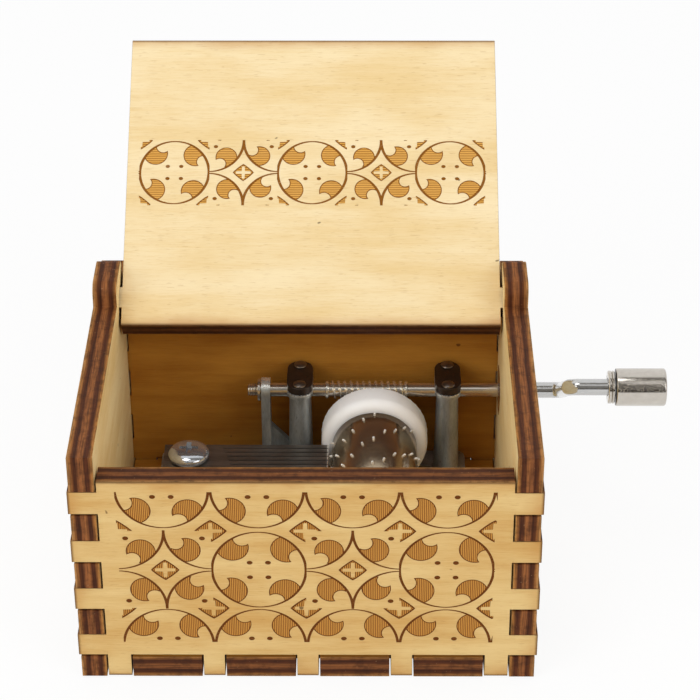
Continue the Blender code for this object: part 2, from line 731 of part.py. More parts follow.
def bracket(name, y):
    """A bearing for the drum's axle: a flat lug with a round top."""
    foot = PLATE_TOP_Z - PLATE_THICKNESS / 2
    top_radius = AXLE_RADIUS + RUN_GAP + BRACKET_WALL
    half = BRACKET_WIDTH / 2
    arc = [(DRUM_X + top_radius * cos(pi * i / 12), DRUM_Z + top_radius * sin(pi * i / 12)) for i in range(13)]
    outline = [(DRUM_X - half, foot), (DRUM_X + half, foot), *arc]
    return as_mesh(plate(name, outline, [], "XZ", (0, y, 0), BRACKET_THICKNESS))


def bedplate():
    """The zinc casting: a plate with a window for the gear, a block for the comb, and the posts."""
    low_x, high_x = PLATE_LEFT_X, PLATE_RIGHT_X
    low_y, high_y = PLATE_FRONT_Y, PLATE_REAR_Y
    radius = PLATE_MARGIN
    outline = rounded_corner((high_x, low_y), (1, 0), (0, 1), radius, 4)
    outline += rounded_corner((high_x, high_y), (0, 1), (-1, 0), radius, 4)
    outline += rounded_corner((low_x, high_y), (-1, 0), (0, -1), radius, 4)
    outline += rounded_corner((low_x, low_y), (0, -1), (1, 0), radius, 4)
    window_x = GEAR_RADIUS + PLATE_SLOT_GAP
    window = [
        (DRUM_X - window_x, GEAR_FRONT_Y - PLATE_SLOT_GAP),
        (DRUM_X - window_x, GEAR_TIP_Y + PLATE_SLOT_GAP),
        (DRUM_X + window_x, GEAR_TIP_Y + PLATE_SLOT_GAP),
        (DRUM_X + window_x, GEAR_FRONT_Y - PLATE_SLOT_GAP),
    ]
    middle = (0, 0, PLATE_LOW_Z + PLATE_THICKNESS / 2)
    made = as_mesh(plate("bedplate", outline, [window], "XY", middle, PLATE_THICKNESS, CAST_ZINC))
    foot = PLATE_TOP_Z - PLATE_THICKNESS / 2
    block_low = (COMB_LEFT_X, COMB_FRONT_Y, foot)
    block_high = (COMB_LEFT_X + BLOCK_WIDTH, COMB_REAR_Y, BLOCK_TOP_Z)
    block = box("comb_block", block_low, block_high)
    front_y = BRACKET_FRONT_Y + BRACKET_THICKNESS / 2
    rear_y = BRACKET_REAR_Y + BRACKET_THICKNESS / 2
    join(
        made,
        block,
        post("left_post", POST_LEFT_X, POST_TOP_Z),
        post("right_post", POST_RIGHT_X, POST_TOP_Z),
        web(),
        end_post(),
        bracket("front_bracket", front_y),
        bracket("rear_bracket", rear_y),
    )
    for i in (0, 2):
        height = BOSS_HEIGHT + PLATE_THICKNESS / 2
        join(made, rod(f"boss_{i}", (*BASE_SCREWS[i], foot), "Z", height, BOSS_RADIUS))
    for i, place in enumerate(BASE_SCREWS):
        slack = 1 * MM
        depth = BASE_SCREW_REACH + METAL_GAP + slack
        start = (*place, PLATE_LOW_Z - slack)
        cut(made, rod(f"base_thread_{i}", start, "Z", depth, BASE_SHANK_RADIUS + METAL_GAP))
    for i, y in enumerate(COMB_SCREW_YS):
        depth = COMB_SCREW_LENGTH + METAL_GAP
        start = (COMB_SCREW_X, y, COMB_TOP_Z + METAL_GAP - depth)
        cut(made, rod(f"comb_thread_{i}", start, "Z", depth, COMB_SHANK_RADIUS + METAL_GAP))
    for x in (POST_LEFT_X, POST_RIGHT_X):
        for y in rivet_places():
            depth = RIVET_REACH + METAL_GAP
            start = (x, y, POST_TOP_Z - depth)
            cut(made, rod("rivet_hole", start, "Z", 2 * depth, RIVET_SHANK_RADIUS + METAL_GAP, sides=12))
    reach = POST_RIGHT_X - END_POST_X + 2 * POST_WIDTH + END_POST_WIDTH
    start = (END_POST_X - END_POST_WIDTH, SHAFT_Y, SHAFT_Z)
    cut(made, rod("shaft_bore", start, "X", reach, SHAFT_RADIUS + RUN_GAP))
    reach = BRACKET_REAR_Y - BRACKET_FRONT_Y + 3 * BRACKET_THICKNESS
    start = (DRUM_X, BRACKET_FRONT_Y - BRACKET_THICKNESS, DRUM_Z)
    cut(made, rod("axle_bore", start, "Y", reach, AXLE_RADIUS + RUN_GAP))
    return made


def rivet_places():
    return [SHAFT_Y + side * RIVET_SPACING / 2 for side in (-1, 1)]


def bearing_cap(name, x):
    """The dark plate that closes a bearing post."""
    holes = [circle(0, y - SHAFT_Y, RIVET_SHANK_RADIUS + METAL_GAP, 12) for y in rivet_places()]
    middle = (x, SHAFT_Y, CAP_LOW_Z + CAP_THICKNESS / 2)
    made = as_mesh(plate(name, obround(CAP_WIDTH, CAP_DEPTH), holes, "XY", middle, CAP_THICKNESS, DARK_STEEL))
    return made


def rivet(name, x, y):
    """A rivet with a low round head, through the cap into its post."""
    seat = CAP_TOP_Z + METAL_GAP / 2
    radius, height = RIVET_HEAD_RADIUS, RIVET_HEAD_HEIGHT
    dome = [(radius * sin(pi / 2 * i / 4), seat + height * cos(pi / 2 * i / 4)) for i in range(5)]
    foot = POST_TOP_Z - RIVET_REACH
    profile = [*dome, (RIVET_SHANK_RADIUS, seat), (RIVET_SHANK_RADIUS, foot), (0, foot)]
    return turned(name, profile, (x, y, 0), "Z", DARK_STEEL, sides=16)


def worm_thread():
    """One unbroken thread, a trapezium that winds round the shaft and tapers away at both ends."""
    left = WORM_LEFT + WORM_COLLAR_LENGTH
    right = WORM_RIGHT - WORM_COLLAR_LENGTH
    turns = (right - left - THREAD_ROOT_WIDTH) / WORM_PITCH
    steps = 12
    count = int(turns * steps)
    # The thread crosses the gear's side of the shaft midway between two teeth
    to_gear = pi
    half_pitch = WORM_PITCH / 2
    sunk = 0.3 * MM

    def build(shape):
        rings = []
        for i in range(count + 1):
            x = left + THREAD_ROOT_WIDTH / 2 + i * WORM_PITCH / steps
            angle = to_gear + 2 * pi * (x - DRUM_X - half_pitch) / WORM_PITCH
            outward = Vector((0, cos(angle), sin(angle)))
            middle = Vector((x, SHAFT_Y, SHAFT_Z))
            ring = []
            for side, radius, width in (
                (-1, SHAFT_RADIUS - sunk, THREAD_ROOT_WIDTH),
                (-1, WORM_TIP_RADIUS, THREAD_TIP_WIDTH),
                (1, WORM_TIP_RADIUS, THREAD_TIP_WIDTH),
                (1, SHAFT_RADIUS - sunk, THREAD_ROOT_WIDTH),
            ):
                ring.append(shape.verts.new(middle + outward * radius + Vector((side * width / 2, 0, 0))))
            rings.append(ring)
        for one, two in zip(rings, rings[1:]):
            for k in range(4):
                shape.faces.new((one[k], one[(k + 1) % 4], two[(k + 1) % 4], two[k]))
        shape.faces.new(rings[0])
        shape.faces.new(rings[-1])

    return mesh_object("worm_thread", build)


def crank_shaft(parent):
    """The straight steel shaft with its worm, a knurled left end and a tapped right end."""
    radius = SHAFT_RADIUS
    tap = THREAD_SPIGOT_RADIUS + METAL_GAP
    tap_depth = THREAD_SPIGOT_LENGTH + METAL_GAP
    bottom = SHAFT_RIGHT - tap_depth
    profile = [(0, bottom), (tap, bottom), (tap, SHAFT_RIGHT), (radius, SHAFT_RIGHT)]
    for start in (WORM_RIGHT, WORM_LEFT + WORM_COLLAR_LENGTH):
        end = start - WORM_COLLAR_LENGTH
        profile += [(radius, start), (WORM_COLLAR_RADIUS, start), (WORM_COLLAR_RADIUS, end), (radius, end)]
    knurl = SHAFT_LEFT + KNURL_LENGTH
    groove = 0.18 * MM
    rings = 4
    for i in range(rings):
        start = knurl - i * KNURL_LENGTH / rings
        middle = start - KNURL_LENGTH / rings / 2
        profile += [(radius, start), (radius - groove, middle)]
    profile += [(radius * 0.8, SHAFT_LEFT), (0, SHAFT_LEFT)]
    made = turned("crank_shaft", profile, (0, SHAFT_Y, SHAFT_Z), "X", BRIGHT_STEEL, parent, sides=24)
    join(made, worm_thread())
    return made


def retaining_ring(parent):
    """The thin ring on the shaft, against the end post."""
    inner = SHAFT_RADIUS + METAL_GAP
    end = END_POST_X - END_POST_WIDTH / 2 - METAL_GAP
    start = end - RING_WIDTH
    profile = [(RING_RADIUS, end), (RING_RADIUS, start), (inner, start), (inner, end)]
    return turned("retaining_ring", profile, (0, SHAFT_Y, SHAFT_Z), "X", BRIGHT_STEEL, parent, 24, ring=True)


def bend(corner, entry, leave, radius, steps=5):
    """Points of a quarter bend in a wire, from entry's direction into leave's."""
    start = corner - entry * radius
    middle = start + leave * radius
    return [
        middle - leave * radius * cos(pi / 2 * i / steps) + entry * radius * sin(pi / 2 * i / steps)
        for i in range(steps + 1)
    ]


def crank_handle(parent):
    """The bent wire: a threaded spigot in the shaft's end, the arm, and the knob's axle with its peened end."""
    along = Vector((1, 0, 0))
    axis = Vector((0, SHAFT_Y, SHAFT_Z))
    knob_axis = axis + ARM_DIRECTION * ARM_LENGTH
    seat = SHAFT_RIGHT + METAL_GAP
    floor = KNOB_X + KNOB_LENGTH - KNOB_RECESS_DEPTH + METAL_GAP
    hair = 0.01 * MM
    route = [
        (axis + along * (SHAFT_RIGHT - THREAD_SPIGOT_LENGTH), THREAD_SPIGOT_RADIUS),
        (axis + along * (seat - hair), THREAD_SPIGOT_RADIUS),
        (axis + along * seat, WIRE_RADIUS),
    ]
    first = bend(axis + along * ARM_X, along, ARM_DIRECTION, BEND_RADIUS)
    second = bend(knob_axis + along * ARM_X, ARM_DIRECTION, along, BEND_RADIUS)
    route += [(point, WIRE_RADIUS) for point in first + second]
    route += [
        (knob_axis + along * floor, WIRE_RADIUS),
        (knob_axis + along * (floor + hair), PEEN_RADIUS),
        (knob_axis + along * (floor + PEEN_HEIGHT * 0.6), PEEN_RADIUS),
        (knob_axis + along * (floor + PEEN_HEIGHT), PEEN_RADIUS * 0.7),
    ]
    curve = bpy.data.curves.new("crank_handle", "CURVE")
    curve.dimensions = "3D"
    curve.bevel_depth = WIRE_RADIUS
    curve.bevel_resolution = 4
    curve.use_fill_caps = True
    spline = curve.splines.new("POLY")
    spline.points.add(len(route) - 1)
    for point, (place, radius) in zip(spline.points, route):
        point.co = (*place, 1)
        point.radius = radius / WIRE_RADIUS
    made = add_object("crank_handle", curve, CHROME, parent)
    return made


def knob_collar(parent):
    """The thin collar on the wire, against the knob."""
    inner = WIRE_RADIUS + METAL_GAP
    profile = [
        (COLLAR_RADIUS, COLLAR_X + COLLAR_WIDTH),
        (COLLAR_RADIUS, COLLAR_X),
        (inner, COLLAR_X),
        (inner, COLLAR_X + COLLAR_WIDTH),
    ]
    return turned("knob_collar", profile, (0, KNOB_AXIS_Y, KNOB_AXIS_Z), "X", CHROME, parent, 32, ring=True)


def knob(parent):
    """The turning knob, bored for its axle and recessed for the peened end."""
    bore = WIRE_RADIUS + RUN_GAP
    recess = KNOB_LENGTH - KNOB_RECESS_DEPTH
    edge = KNOB_CHAMFER
    profile = [
        (KNOB_RECESS_RADIUS, KNOB_LENGTH),
        (KNOB_RADIUS - edge, KNOB_LENGTH),
        (KNOB_RADIUS, KNOB_LENGTH - edge),
        (KNOB_RADIUS, edge),
        (KNOB_RADIUS - edge, 0),
        (bore, 0),
        (bore, recess),
        (KNOB_RECESS_RADIUS, recess),
    ]
    return turned("knob", profile, (KNOB_X, KNOB_AXIS_Y, KNOB_AXIS_Z), "X", CHROME, parent, 40, ring=True)


def gear_tooth(shape, angle):
    """One radial ridge on the gear's rear face, which runs out down the bevel of the rim."""
    outward = Vector((sin(angle), 0, cos(angle)))
    across = Vector((cos(angle), 0, -sin(angle)))
    centre = Vector((DRUM_X, GEAR_BACK_Y, DRUM_Z))
    backward = Vector((0, 1, 0))
    sunk = -0.3 * MM - GEAR_RIM_BEVEL
    rim = GEAR_RIM_RIDGE / 2 - GEAR_RIM_BEVEL
    root, tip = GEAR_TOOTH_ROOT / 2, GEAR_TOOTH_TIP / 2
    sections = [
        (MESH_RADIUS - GEAR_TOOTH_INNER, [(sunk, root), (0, root), (GEAR_TOOTH_HEIGHT, tip)]),
        (MESH_RADIUS + GEAR_TOOTH_OUTER, [(GEAR_TOOTH_HEIGHT, tip)]),
        (GEAR_RADIUS - GEAR_RIM_BEVEL, [(0, root), (GEAR_RIM_RIDGE, root * 0.8)]),
        (GEAR_RADIUS + GEAR_RIM_RIDGE / 2, [(sunk, root), (rim, root)]),
    ]
    points = []
    for radius, spots in sections:
        for depth, half in spots:
            for side in (-half, half):
                points.append(shape.verts.new(centre + outward * radius + backward * depth + across * side))
    made = bmesh.ops.convex_hull(shape, input=points)
    inside = [item for item in made["geom_interior"] + made["geom_unused"] if isinstance(item, bmesh.types.BMVert)]
    bmesh.ops.delete(shape, geom=inside, context="VERTS")


def drive_gear(parent):
    """The nylon gear: a wide cup with a spigot into the drum, and crown teeth behind."""
    bore = AXLE_RADIUS + METAL_GAP
    spigot = DRUM_RADIUS - DRUM_WALL - METAL_GAP
    lip = 0.3 * MM
    profile = [
        (bore, GEAR_BACK_Y),
        (GEAR_RADIUS - GEAR_RIM_BEVEL, GEAR_BACK_Y),
        (GEAR_RADIUS, GEAR_BACK_Y - GEAR_RIM_BEVEL),
        (GEAR_RADIUS, GEAR_FRONT_Y + lip),
        (GEAR_RADIUS - lip, GEAR_FRONT_Y),
        (spigot, GEAR_FRONT_Y),
        (spigot, GEAR_FRONT_Y - SPIGOT_LENGTH),
        (bore, GEAR_FRONT_Y - SPIGOT_LENGTH),
    ]
    made = turned("drive_gear", profile, (DRUM_X, 0, DRUM_Z), "Y", NYLON, parent, 64, ring=True)

    def teeth(shape):
        for i in range(GEAR_TEETH):
            gear_tooth(shape, 2 * pi * i / GEAR_TEETH)

    join(made, mesh_object("gear_teeth", teeth))
    return made


def pin_angles(track):
    """Where a track's pins stand round the drum, a plain spread that plays no tune in particular."""
    golden = pi * (3 - sqrt(5))
    share = 2 * pi / PINS_PER_TRACK
    return [golden * (track * PINS_PER_TRACK + k) * 5 + share * k for k in range(PINS_PER_TRACK)]


def pinned_drum(parent):
    """The drum: a steel tube set with pins, a track of them for each tooth of the comb."""
    inner = DRUM_RADIUS - DRUM_WALL
    profile = [
        (DRUM_RADIUS, DRUM_REAR_Y),
        (DRUM_RADIUS, DRUM_FRONT_Y),
        (inner, DRUM_FRONT_Y),
        (inner, DRUM_REAR_Y),
    ]
    made = turned("pinned_drum", profile, (DRUM_X, 0, DRUM_Z), "Y", DRUM_STEEL, parent, 48, ring=True)
    sunk = 0.4 * MM

    def pins(shape):
        for track in range(TOOTH_COUNT):
            y = FIRST_TRACK_Y - track * TOOTH_PITCH
            for angle in pin_angles(track):
                turn = Matrix.Translation((DRUM_X, y, DRUM_Z)) @ Matrix.Rotation(angle, 4, "Y")
                length = PIN_LENGTH + sunk
                lift = Matrix.Translation((0, 0, DRUM_RADIUS - sunk + length / 2))
                bmesh.ops.create_cone(
                    shape,
                    cap_ends=True,
                    segments=6,
                    radius1=PIN_RADIUS,
                    radius2=PIN_RADIUS * 0.8,
                    depth=length,
                    matrix=turn @ lift,
                )

    join(made, mesh_object("drum_pins", pins))
    return made


def drum_end_disc(parent):
    """The disc that closes the drum's front end and centres it on the axle."""
    outer = DRUM_RADIUS - DRUM_WALL - METAL_GAP
    inner = AXLE_RADIUS + METAL_GAP
    start = DRUM_FRONT_Y + METAL_GAP
    end = start + END_DISC_THICKNESS
    profile = [(outer, end), (outer, start), (inner, start), (inner, end)]
    return turned("drum_end_disc", profile, (DRUM_X, 0, DRUM_Z), "Y", NYLON, parent, 40, ring=True)


def drum_axle(parent):
    start = BRACKET_FRONT_Y - METAL_GAP
    end = BRACKET_REAR_Y + BRACKET_THICKNESS + METAL_GAP
    return rod("drum_axle", (DRUM_X, start, DRUM_Z), "Y", end - start, AXLE_RADIUS, BRIGHT_STEEL, parent)


def build_case():
    bottom_panel()
    end_panel("front_panel", -(CASE_DEPTH / 2 - PLY / 2), FRONT_HEIGHT)
    end_panel("back_panel", CASE_DEPTH / 2 - PLY / 2, back_height())
    side_panel("left_side_panel", -1)
    side_panel("right_side_panel", 1)
    lid(pivot("lid_pivot", (0, PIVOT_Y, PIVOT_Z)))


def build_movement():
    bedplate()
    comb()
    for name, y in zip(("comb_screw_rear", "comb_screw_front"), COMB_SCREW_YS):
        comb_screw(name, y)
    for name, place in zip(("base_screw_left", "base_screw_middle", "base_screw_right"), BASE_SCREWS):
        base_screw(name, place)
    for side, x in (("left", POST_LEFT_X), ("right", POST_RIGHT_X)):
        bearing_cap(f"bearing_cap_{side}", x)
        for end, y in zip(("front", "rear"), rivet_places()):
            rivet(f"cap_rivet_{side}_{end}", x, y)


def build_drum():
    axis = pivot("drum_axis", (DRUM_X, (DRUM_FRONT_Y + DRUM_REAR_Y) / 2, DRUM_Z))
    drive_gear(axis)
    pinned_drum(axis)
    drum_end_disc(axis)
    drum_axle(axis)


def build_crank():
    axis = pivot("crank_axis", (0, SHAFT_Y, SHAFT_Z))
    crank_shaft(axis)
    retaining_ring(axis)
    crank_handle(axis)
    knob_collar(axis)
    knob(pivot("knob_axis", (KNOB_X, KNOB_AXIS_Y, KNOB_AXIS_Z)))


build_case()
build_movement()
build_drum()
build_crank()
for found in PARTS.objects:
    if found.type == "MESH":
        smooth(found)
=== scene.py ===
"""Looks of a hand-cranked plywood music box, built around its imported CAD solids.

Metres, in the CAD frame: +X to the crank's side, -Y to the front, +Z up.
Sizes named here are in millimetres, and pieces are scaled by MM when they are made.
"""

import json
from math import cos, pi, radians, sin, sqrt

import bmesh
import bpy
from mathutils import Matrix, Vector


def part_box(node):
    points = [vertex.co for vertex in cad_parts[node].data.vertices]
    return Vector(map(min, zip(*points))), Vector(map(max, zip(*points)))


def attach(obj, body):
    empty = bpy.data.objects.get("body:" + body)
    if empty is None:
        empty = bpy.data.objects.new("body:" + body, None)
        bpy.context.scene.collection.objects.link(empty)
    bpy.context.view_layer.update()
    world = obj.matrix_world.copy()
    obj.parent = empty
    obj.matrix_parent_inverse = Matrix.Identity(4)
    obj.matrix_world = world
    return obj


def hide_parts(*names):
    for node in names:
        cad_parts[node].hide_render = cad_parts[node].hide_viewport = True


MM = 0.001

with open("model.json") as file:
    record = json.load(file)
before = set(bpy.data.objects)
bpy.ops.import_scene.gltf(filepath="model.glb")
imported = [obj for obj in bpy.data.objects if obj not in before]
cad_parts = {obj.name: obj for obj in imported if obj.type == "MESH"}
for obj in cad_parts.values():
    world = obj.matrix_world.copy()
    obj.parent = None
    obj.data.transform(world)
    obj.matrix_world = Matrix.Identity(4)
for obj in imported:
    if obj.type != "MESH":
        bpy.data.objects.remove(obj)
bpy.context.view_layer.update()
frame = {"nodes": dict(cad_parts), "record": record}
NODES = frame["nodes"]
BEHAVIOUR = frame["record"]["behaviour"]
BODY_OF = {node: body for body, nodes in BEHAVIOUR["bodies"].items() for node in nodes}
JOINTS = {joint["name"]: joint for joint in BEHAVIOUR["joints"]}


def box_mm(node):
    """A CAD node's lowest and highest corner, in millimetres."""
    return [Vector(corner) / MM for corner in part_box(node)]


def joint_mm(name):
    """A joint's place, in millimetres."""
    return Vector(JOINTS[name]["pos_m"]) / MM


# The case, read from the frame
LID_PIVOT = joint_mm("lid_hinge")
LID_SWING = radians(JOINTS["lid_hinge"]["range_deg"][1])
FRONT_OUTER_Y = box_mm("front_panel")[0].y
SIDE_OUTER_X = box_mm("right_side_panel")[1].x
SIDE_TOP = box_mm("right_side_panel")[1].z
FRONT_TOP = box_mm("front_panel")[1].z
BACK_TOP = box_mm("back_panel")[1].z
LID_HALF_WIDTH = box_mm("lid")[1].x

# The sheet's thickness, and how far the lid reaches from its pivot, forward and back
PLY = 3.5
LID_REACH = 42.95
LID_TAIL = 4.47


def screen(red, green, blue):
    """A colour written as 0 to 255 screen values, made linear."""

    def one(value):
        share = value / 255
        return share / 12.92 if share <= 0.04045 else ((share + 0.055) / 1.055) ** 2.4

    return (one(red), one(green), one(blue), 1)


def feed(tree, slot, value):
    """Links a formula's number or an output into a slot, or sets a plain value there."""
    if isinstance(value, Num):
        value = value.socket
    if isinstance(value, bpy.types.NodeSocket):
        tree.links.new(value, slot)
    else:
        slot.default_value = value


def mix_colours(tree, share, first, second):
    """Between two colours, each a colour value or an earlier mix."""
    node = tree.nodes.new("ShaderNodeMix")
    node.data_type = "RGBA"
    feed(tree, node.inputs[6], first)
    feed(tree, node.inputs[7], second)
    feed(tree, node.inputs[0], share)
    return node.outputs[2]


class Num:
    """A number inside a shader, so that patterns can be written as formulas."""

    def __init__(self, tree, socket):
        self.tree = tree
        self.socket = socket

    def math(self, operation, *values):
        node = self.tree.nodes.new("ShaderNodeMath")
        node.operation = operation
        for slot, value in zip(node.inputs, (self, *values)):
            feed(self.tree, slot, value)
        return Num(self.tree, node.outputs[0])

    def __add__(self, other):
        return self.math("ADD", other)

    __radd__ = __add__

    def __sub__(self, other):
        return self.math("SUBTRACT", other)

    def __rsub__(self, other):
        return (self * -1).math("ADD", other)

    def __mul__(self, other):
        return self.math("MULTIPLY", other)

    __rmul__ = __mul__

    def __truediv__(self, other):
        return self.math("DIVIDE", other)

    def __abs__(self):
        return self.math("ABSOLUTE")

    def low(self, other):
        return self.math("MINIMUM", other)

    def high(self, other):
        return self.math("MAXIMUM", other)

    def below(self, other):
        return self.math("LESS_THAN", other)

    def above(self, other):
        return self.math("GREATER_THAN", other)

    def wrap(self, period):
        """How far from the nearest whole period, from minus half to plus half of it."""
        return self.math("WRAP", period / 2, -period / 2)

    def root(self):
        return self.math("SQRT")

    def wave(self, period):
        """A wave between 0 and 1."""
        return (self * (2 * pi / period)).math("SINE") * 0.5 + 0.5

    def step(self, start, end):
        """0 up to start and 1 past end, smooth between. Start may be the larger one."""
        node = self.tree.nodes.new("ShaderNodeMapRange")
        node.interpolation_type = "SMOOTHSTEP"
        flip = start > end
        ends = (min(start, end), max(start, end), float(flip), float(not flip))
        for name, value in zip(("From Min", "From Max", "To Min", "To Max"), ends):
            node.inputs[name].default_value = value
        feed(self.tree, node.inputs["Value"], self)
        return Num(self.tree, node.outputs["Result"])


def distance(across, up, centre_x=0.0, centre_y=0.0):
    """How far a point of a flat pattern is from a centre."""
    dx = across - centre_x
    dy = up - centre_y
    return (dx * dx + dy * dy).root()


class Shade:
    """A material whose colour, roughness and bump are built up by formulas."""

    def __init__(self, name):
        self.material = bpy.data.materials.new(name)
        self.material.use_nodes = True
        self.tree = self.material.node_tree
        self.shader = self.tree.nodes["Principled BSDF"]
        self.coords = self.tree.nodes.new("ShaderNodeTexCoord")

    def place(self):
        """The point's X, Y and Z in the object's own space, in millimetres."""
        scaled = self.tree.nodes.new("ShaderNodeVectorMath")
        scaled.operation = "SCALE"
        scaled.inputs["Scale"].default_value = 1 / MM
        feed(self.tree, scaled.inputs[0], self.coords.outputs["Object"])
        return self.parts(scaled.outputs[0])

    def normal(self):
        return self.parts(self.coords.outputs["Normal"])

    def parts(self, socket):
        split = self.tree.nodes.new("ShaderNodeSeparateXYZ")
        feed(self.tree, split.inputs[0], socket)
        return [Num(self.tree, out) for out in split.outputs]

    def noise(self, x, y, z, detail=2.0, rough=0.5):
        """Smooth noise around 0.5, with features about 1 wide."""
        joined = self.tree.nodes.new("ShaderNodeCombineXYZ")
        for slot, value in zip(joined.inputs, (x, y, z)):
            feed(self.tree, slot, value)
        node = self.tree.nodes.new("ShaderNodeTexNoise")
        for name, value in (("Scale", 1.0), ("Detail", detail), ("Roughness", rough)):
            node.inputs[name].default_value = value
        feed(self.tree, node.inputs["Vector"], joined.outputs[0])
        return Num(self.tree, node.outputs["Fac"])

    def mix(self, share, first, second):
        return mix_colours(self.tree, share, first, second)

    def ramp(self, share, stops):
        """A colour ramp through (position, colour) stops."""
        node = self.tree.nodes.new("ShaderNodeValToRGB")
        points = node.color_ramp.elements
        while len(points) < len(stops):
            points.new(0.5)
        for point, (position, colour) in zip(points, stops):
            point.position = position
            point.color = colour
        feed(self.tree, node.inputs[0], share)
        return node.outputs[0]

    def put(self, name, value):
        """Gives the material's shader a value or a link."""
        feed(self.tree, self.shader.inputs[name], value)

    def finish(self, colour, rough, height=None):
        """Puts in colour, roughness and bump. The height is in millimetres."""
        self.put("Base Color", colour)
        self.put("Roughness", rough)
        if height is not None:
            bump = self.tree.nodes.new("ShaderNodeBump")
            bump.inputs["Distance"].default_value = MM
            feed(self.tree, bump.inputs["Height"], height)
            self.put("Normal", bump.outputs[0])
        return self.material


# Wood colours, light and warm
LID_VENEER = (screen(233, 213, 171), screen(222, 193, 138))
# The sides' outer faces: a pale veneer like the lid's, paler than the front as painted light from
# the sides, which the crank's wire mirrors
PALE_LIT_SIDE_VENEER = (screen(234, 214, 168), screen(218, 186, 130))
FACE_VENEER = (screen(217, 187, 128), screen(196, 153, 88))
# The inner faces of the front and sides: the same wood as outside, written paler as painted light
# in the shaded case
LIT_INNER_VENEER = (screen(249, 224, 168), screen(234, 200, 134))
# The inner faces of the back and bottom: a darker brown veneer, darker still as painted shade
# inside the case
DARK_AND_SHADED_VENEER = (screen(192, 134, 52), screen(156, 98, 30))
TOAST = screen(172, 108, 36)
CHAR = screen(66, 34, 12)
BURNT = screen(44, 22, 12)
PORE = screen(170, 116, 56)
GLINT = screen(196, 158, 118)

# Engraved colours: the lines, then the hatch's light and dark strokes
FRONT_INK = (screen(98, 50, 5), screen(200, 141, 62), screen(116, 62, 10))
LID_INK = (screen(130, 78, 16), screen(222, 166, 76), screen(158, 100, 26))

# The sheet's layers where it is cut, from its inner side to its outer side
LAYERS = [
    (0.00, screen(184, 130, 66)),
    (0.10, screen(152, 96, 46)),
    (0.18, screen(80, 40, 19)),
    (0.31, screen(92, 48, 24)),
    (0.40, screen(152, 94, 50)),
    (0.58, screen(140, 84, 46)),
    (0.66, screen(70, 34, 15)),
    (0.79, screen(94, 50, 22)),
    (0.87, screen(156, 100, 50)),
    (1.00, screen(188, 140, 84)),
]

# The toasted border's reach, how far it roams and how deep its colour is
TOAST_BORDER = (2.4, 9.0, 0.55)
LID_TOAST_BORDER = (1.9, 2.6, 0.7)

# A place whose normal has at least this share through the sheet is on one of its two sides
SIDE_FACING = 0.8

# The wood's surface and its engraving, with the direction and pitch of the hatch
WOOD_SHEEN = 0.12
WOOD_ROUGHNESS = 0.5
ENGRAVED_DEPTH = 0.08
HATCH_DEPTH = 0.03
FRONT_HATCH = ("upright", 0.25)
LID_HATCH = ("level", 0.3)

# The front's ornament, from the case's centre line and underside
PITCH = 12.8
FIRST_COLUMN = -19.3
MIDDLE_ROW = 18.6
ROW_STEP = 6.6
HOOP = 6.4
HALF_HOOP = 6.25
TOP_ROW = 32.0
BOTTOM_ROW = 5.5
PATTERN_LOW = 6.0
PATTERN_HIGH = 31.65
PATTERN_CENTRE = 0.05
PATTERN_HALF_WIDTH = 25.65
ROW_MARGIN = 0.1

# The ornament's lines
THIN_LINE = 0.07
THICK_LINE = 0.12
OUTLINE = 0.14

# A leaf's round body and the round notch in it: across, up and radius
LEAF = (-3.55, 3.85, 2.25)
NOTCH = (-2.2, 5.35, 1.2)
DIAMOND_LEAF = 0.9
BORDER_LEAF = 0.97
BORDER_LEAF_START = 0.4

# Dots: half their width and height, and how far across and up they stand from a centre
DOT_WIDE = 0.4
DOT_HIGH = 0.32
HOOP_DOTS = (1.25, 1.25)
DIAMOND_DOTS = (5.2, 5.35)
BORDER_DOTS = (1.25, 1.15)

# Lozenges: half their width and height, their roundness, and the cross in them
DIAMOND_LOZENGE = (1.95, 1.75)
JOINT_LOZENGE = (2.2, 1.85)
LOZENGE_POWER = 1.12
RIM_SHARE = 0.86
CROSS = 0.34
CROSS_REACH = 0.95
CROSS_TAPER = 0.45

# The lid's row: its distance from the pivot, its size beside the front's, and its figures
LID_ROW = 20.4
LID_ROW_SIZE = 0.81
LID_FIGURES = 5
LID_ROW_MARGIN = 0.2


def leaves(x, y, size, hoop):
    """Signed distance to four leaves that curl inside a hoop, each a quarter turn from the next."""
    across = (x * y).below(0.0)
    straight = 1 - across
    fold_x = (across * abs(x) + straight * abs(y)) * -1
    fold_y = across * abs(y) + straight * abs(x)
    body = distance(fold_x, fold_y, LEAF[0] * size, LEAF[1] * size) - LEAF[2] * size
    notch = NOTCH[2] * size - distance(fold_x, fold_y, NOTCH[0] * size, NOTCH[1] * size)
    return body.high(notch).high(distance(x, y) - hoop)


def arc_line(across, up, radius, size=1.0):
    """A circle's line, thin where it runs level and thicker where it stands upright."""
    half = abs(across) * (THICK_LINE / radius) + THIN_LINE / size
    return (abs(distance(across, up) - radius) - half).below(0.0)


def dots(across, up, corner, size=1.0):
    """Dots at the four corners of a rectangle, wider than they are high."""
    dot_across = (abs(across) - corner[0] * size) / (DOT_WIDE * size)
    dot_up = (abs(up) - corner[1] * size) / (DOT_HIGH * size)
    return distance(dot_across, dot_up).below(1.0)


def crossed_lozenge(across, up, half, size):
    """A rounded lozenge and a tapered cross inside it, each 1 at its outline and less inside."""
    half_width = half[0] * size
    half_height = half[1] * size
    sideways = abs(across) / half_width
    upward = abs(up) / half_height
    bulge = sideways.math("POWER", LOZENGE_POWER) + upward.math("POWER", LOZENGE_POWER)
    share = bulge.math("POWER", 1 / LOZENGE_POWER)
    wide_arm = (abs(across) / (CROSS_REACH * half_width)).high(abs(up) / (CROSS * size))
    high_arm = (abs(up) / (CROSS_REACH * half_height)).high(abs(across) / (CROSS * size))
    taper = 1 + (sideways + upward) * CROSS_TAPER
    return share, wide_arm.low(high_arm) * taper


